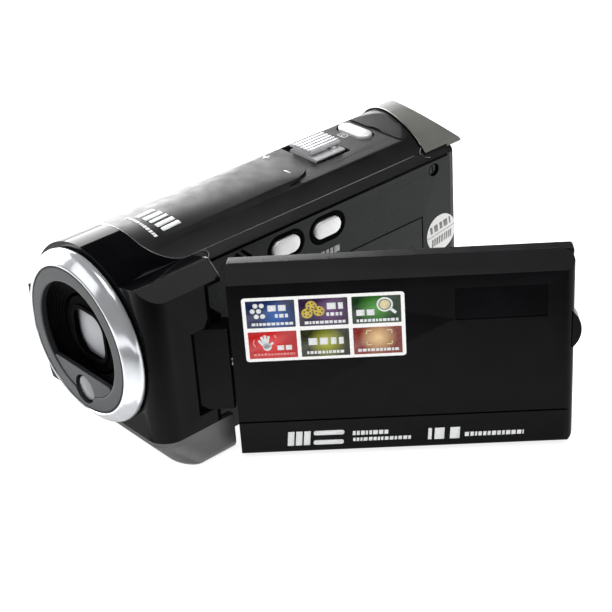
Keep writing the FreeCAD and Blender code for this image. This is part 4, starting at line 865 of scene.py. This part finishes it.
def side_marks():
    """Blocks under the two side keys, and the round label with its rule and blocks."""
    prints = {
        "key_print": row((6.9, 13.2), (36.3, 38.1), 8, 1.5, 0.4, 0.05),
        "key_print_front": row((-8.0, -2.4), (36.9, 38.3), 9, 1.2, 0.4, 0.05),
    }
    for name, blocks in prints.items():
        place(slabs(name, "x", blocks, WALL, WALL + 0.04), "chassis", "sticker", GREY_INK)
    label = pillow("round_paper", "x", disc(*LABEL, LABEL_RADIUS), LABEL_RADIUS, WALL, WALL + 0.1, 0.03, 0.0)
    place(label, "chassis", "sticker", PAPER, "round_label")
    shapes = row((-3.9, 3.9), (1.1, 3.2), 14, 1.3, 0.6, 0.05)
    shapes += row((-4.2, 4.0), (-3.0, -0.8), 15, 0.5, 0.35, 0.5)
    shapes.append(stroke((-5.1, 0.2), (5.1, 0.2), 0.16))
    turn = Matrix.Rotation(math.radians(7.5), 2)
    turned = [[tuple(Vector(LABEL) + turn @ Vector(point)) for point in shape] for shape in shapes]
    place(slabs("round_paper_print", "x", turned, WALL + 0.09, WALL + 0.13), "chassis", "sticker", LABEL_GREY)


def rear_marks():
    """A power sign, a play sign and the record dot, all plain shapes."""
    skin = REAR_FACE + 0.02
    arc = [math.radians(120 + 300 * step / 24) for step in range(25)]
    loop = [(REAR_KEY_X + 0.9 * math.cos(angle), skin, 19.3 + 0.9 * math.sin(angle)) for angle in arc]
    signs = [
        wire("power_sign", loop, 0.12),
        wire("power_sign_bar", [(REAR_KEY_X, skin, 19.5), (REAR_KEY_X, skin, 20.7)], 0.12),
        prism("mode_sign", "y", [(8.9, 43.0), (8.9, 44.6), (7.3, 43.8)], REAR_FACE, REAR_FACE + 0.05),
        prism("record_sign", "y", circle(RECORD_SPOT[0], 38.6, 0.6, 20), REAR_FACE, REAR_FACE + 0.05),
    ]
    for sign in signs:
        place(sign, "chassis", "sticker", WHITE_INK)


# ---- seams, with painted shade and painted highlights along them ---------------------------------

def top_height(across):
    """Height of the round top."""
    return LENS_Z + math.sqrt(BARREL ** 2 - across ** 2)


def cap_edge(across):
    """How far back the rear cap's front edge is: from its bend it runs forward one way and back the other."""
    if across > CAP_BEND:
        return CAP_FRONT - 1.7 * min((across - CAP_BEND) / 11, 1)
    return CAP_FRONT + 4.4 * (CAP_BEND - across) / 17


def cap_height(across):
    """Height of the rear cap's top."""
    return LENS_Z + math.sqrt(CAP_RADIUS ** 2 - across ** 2)


def cover_lines():
    """Painted highlights: a bright line round the top cover's edge, and the hook where it meets the front
    housing.
    """
    turn = 8.6
    plan = [(across, COVER_FRONT) for across in range(-14, 6, 2)]
    for step in range(13):
        angle = math.pi / 2 * step / 12
        plan.append((COVER_EDGE - turn + turn * math.sin(angle), COVER_FRONT + turn - turn * math.cos(angle)))
    plan += [(COVER_EDGE, along) for along in range(-32, 46, 3)]
    # Pale wires along the cover's edge and the hook: a painted highlight.
    path = [(across, along, top_height(across) + 0.02) for across, along in plan]
    place(wire("cover_painted_highlight", path, 0.13), "chassis", "graphite", HIGHLIGHT_LINE_PAINT)
    hook = smooth_path([(15.2, -29.9, 52.3), (15.5, -28.6, 52.2), (16.0, -27.9, 51.85), (16.8, -28.0, 51.2),
                        (17.25, -29.0, 51.0), (17.6, -30.6, 51.6), (18.6, -31.5, 52.6), (21.2, -31.62, 53.45),
                        (22.2, -31.62, 52.7), (25.4, -31.62, 49.95)], 6)
    place(wire("housing_hook_painted_highlight", hook, 0.13), "chassis", "graphite", HIGHLIGHT_LINE_PAINT)


def cap_lines():
    """Painted shade as a dark line where the rear cap's front edge has its gap, and a painted highlight along
    its lip, which ends in a small hook.
    """
    edge = [(across, cap_edge(across), cap_height(across)) for across in range(-14, 17, 2)]
    # A dark wire along the cap's edge: painted shade in the gap.
    gap = [(across, along - 0.12, height - 0.35) for across, along, height in edge]
    place(wire("cap_gap_painted_shade", gap, 0.24), "chassis", "graphite", DARK)
    # A pale wire along the lip: a painted highlight.
    end = smooth_path([(13.0, cap_edge(13), cap_height(13)), (14.4, 46.3, 53.5), (15.0, 45.3, 52.6),
                       (15.8, 45.1, 51.9), (16.5, 45.7, 51.3), (17.0, 47.2, 50.9)], 5)
    place(wire("cap_lip_painted_highlight", edge[:-2] + end, 0.09), "chassis", "graphite", HIGHLIGHT_LINE_PAINT)


def side_seams():
    """Painted shade: a dark ring in the screw's recess and a dark strip under the rail; and the rounded strip
    along the deck's edge, made paler as a painted highlight.
    """
    # A flat black ring lining the screw's recess: painted shade.
    outer = circle(*SCREW, 1.82, 32)
    inner = circle(*SCREW, 1.6, 32)
    recess = band("screw_recess_painted_shade", "x", outer, inner, WALL - 1.4, WALL + 0.03)
    place(recess, "chassis", "side_black", DARK)
    # A black strip on the wall under the rail: painted shadow in the gap.
    gap = prism("rail_painted_shadow", "x", rectangle(-31.0, 53.4, 49.35, 50.05, 0.2), WALL, WALL + 0.03)
    place(gap, "chassis", "side_black", DARK)
    # The strip's paler material is a painted highlight along the deck's edge.
    outline = [(10.45, DECK - 0.35), (10.95, DECK - 0.62), (10.5, DECK + 0.06), (8.3, DECK + 0.2),
               (8.1, DECK - 0.3)]
    strip = prism("deck_edge", "y", outline, 8.0, 42.6)
    place(soften(strip, 0.12, 2), "chassis", "graphite", DECK_EDGE_HIGHLIGHT)


# ---- stage, light and camera ---------------------------------------------------------------------

def plane(name, size, where, material):
    """A flat square that isn't part of the object."""
    bm = bmesh.new()
    bmesh.ops.create_grid(bm, x_segments=1, y_segments=1, size=size / 2)
    bmesh.ops.translate(bm, vec=where, verts=bm.verts)
    piece = from_bmesh(name, bm)
    piece.data.materials.append(material)
    return piece


def stage():
    """A plain pale floor that is bright enough to leave only soft shade."""
    material, tree, bsdf = shader("pale_floor", Roughness=0.6)
    cloud = spread(tree, noise(tree, 4, 3), 0, 1)
    tint = blend_colours(tree, cloud, (0.56, 0.56, 0.555), (0.58, 0.58, 0.575))
    tree.links.new(tint, bsdf.inputs["Base Color"])
    bsdf.inputs["Emission Color"].default_value = (1.0, 1.0, 0.995, 1.0)
    bsdf.inputs["Emission Strength"].default_value = 0.85
    plane("floor", 9000, (0, 0, -0.05), material)


def area_light(name, where, aim, size, power):
    """A white rectangular light that faces a point."""
    data = bpy.data.lights.new(name, "AREA")
    data.shape = "RECTANGLE"
    data.size = size[0] * MM
    data.size_y = size[1] * MM
    data.energy = power
    light = bpy.data.objects.new(name, data)
    light.location = Vector(where) * MM
    light.rotation_euler = (Vector(aim) - Vector(where)).to_track_quat("-Z", "Y").to_euler()
    bpy.context.scene.collection.objects.link(light)
    return light


def sky():
    """A dim studio for the reflections, a little brighter near the horizon, behind a pale backdrop."""
    world = bpy.data.worlds.new("studio")
    world.use_nodes = True
    tree = world.node_tree
    coords = tree.nodes.new("ShaderNodeTexCoord")
    split = tree.nodes.new("ShaderNodeSeparateXYZ")
    tree.links.new(coords.outputs["Generated"], split.inputs["Vector"])
    height = spread(tree, split.outputs["Z"], 0.9, 0.12, 0.05, 0.45)
    room = tree.nodes["Background"]
    room.inputs["Color"].default_value = (0.05, 0.05, 0.05, 1)
    tree.links.new(height, room.inputs["Strength"])
    backdrop = tree.nodes.new("ShaderNodeBackground")
    backdrop.inputs["Color"].default_value = (0.95, 0.95, 0.945, 1)
    paths = tree.nodes.new("ShaderNodeLightPath")
    mix = tree.nodes.new("ShaderNodeMixShader")
    tree.links.new(paths.outputs["Is Camera Ray"], mix.inputs["Fac"])
    tree.links.new(room.outputs["Background"], mix.inputs[1])
    tree.links.new(backdrop.outputs["Background"], mix.inputs[2])
    tree.links.new(mix.outputs["Shader"], tree.nodes["World Output"].inputs["Surface"])
    bpy.context.scene.world = world


def bearing(azimuth, elevation):
    """The direction of a bearing from the lens end towards the screen side, and a rise."""
    flat = math.cos(elevation)
    return Vector((math.sin(azimuth) * flat, -math.cos(azimuth) * flat, math.sin(elevation)))


def softbox(name, azimuth, elevation, distance, size, radiance, seen=True):
    """A soft light of a given brightness at a bearing; one that isn't seen leaves no highlight."""
    middle = Vector((0, 0, 30))
    where = bearing(math.radians(azimuth), math.radians(elevation)) * distance
    power = radiance * math.pi * size[0] * size[1] * MM * MM
    light = area_light(name, where + middle, middle, size, power)
    light.visible_glossy = seen


def lights():
    """Softboxes round the camcorder, a small card for the shoulder, and dark cards that the gloss mirrors.

    A softbox has a bearing and a rise in degrees, a distance, a size and a brightness.
    """
    sky()
    softbox("back_left_softbox", -94, 17, 900, (1214, 520), 8.0)
    softbox("top_softbox", 60, 76, 700, (420, 420), 2.8)
    shelf_glow = area_light("shelf_card", (116, 79, 251), (24, -44, 52), (56, 60), 0.04)
    shelf_glow.visible_diffuse = False
    softbox("ring_softbox", -27, 27, 800, (460, 220), 1.5)
    softbox("fill", 20, 80, 900, (1700, 1700), 1.7, seen=False)
    flag("panel_flag", flag_cloth(), (220, 260), (135, -120, 1), (0, 0, -42))
    flag("ring_flag", black_card("ring_flag_cloth", 0.9)[0], (110, 130), (40, -454, 125), (90, 0, 5))
    flag("floor_flag", black_card("floor_flag_cloth", 0.55)[0], (44, 28), (2, -54, 1), (0, 0, 0))


def flag(name, cloth, size, where, turns):
    """A card that only mirrors see: it darkens the gloss and throws no shadow."""
    card = plane(name, 1, (0, 0, 0), cloth)
    card.data.transform(Matrix.Diagonal((size[0], size[1], 1, 1)))
    turn = Euler([math.radians(angle) for angle in turns]).to_matrix().to_4x4()
    card.matrix_world = Matrix.Translation(Vector(where) * MM) @ turn
    card.visible_camera = False
    card.visible_diffuse = False
    card.visible_shadow = False


def black_card(name, cover=1.0):
    """A black material that mirrors nothing, with an even cover."""
    return shader(name, Base_Color=(0, 0, 0, 1), Roughness=1.0, Specular_IOR_Level=0.0, Alpha=cover)


def flag_cloth():
    """Black card that thins out towards the camcorder, so that the gloss darkens gently."""
    material, tree, bsdf = black_card("flag_cloth")
    coords = tree.nodes.new("ShaderNodeTexCoord")
    split = tree.nodes.new("ShaderNodeSeparateXYZ")
    tree.links.new(coords.outputs["Object"], split.inputs["Vector"])
    tree.links.new(spread(tree, split.outputs["X"], 0, 1, -0.110, -0.030), bsdf.inputs["Alpha"])
    return material


def camera():
    """Stands where the photographer stood."""
    azimuth, elevation, roll = (math.radians(angle) for angle in (50.916, 29.852, -4.114))
    back = bearing(azimuth, elevation)
    right = Vector((math.cos(azimuth), math.sin(azimuth), 0))
    up = back.cross(right)
    across = right * math.cos(roll) + up * math.sin(roll)
    above = up * math.cos(roll) - right * math.sin(roll)
    data = bpy.data.cameras.new("camera")
    data.lens = 94.1
    data.sensor_width = 36
    data.clip_start = 0.01
    view = bpy.data.objects.new("camera", data)
    turn = Matrix((across, above, back)).transposed().to_4x4()
    view.matrix_world = Matrix.Translation(Vector((296.4, -226.1, 231.3)) * MM) @ turn
    bpy.context.scene.collection.objects.link(view)
    bpy.context.scene.camera = view


dress_nodes()
lens_group()
side_keys()
photo_key()
zoom_key()
rear_keys()
panel_print()
sticker()
barrel_marks()
side_marks()
rear_marks()
cover_lines()
cap_lines()
side_seams()
stage()
lights()
camera()
bpy.context.scene.view_settings.view_transform = "Standard"
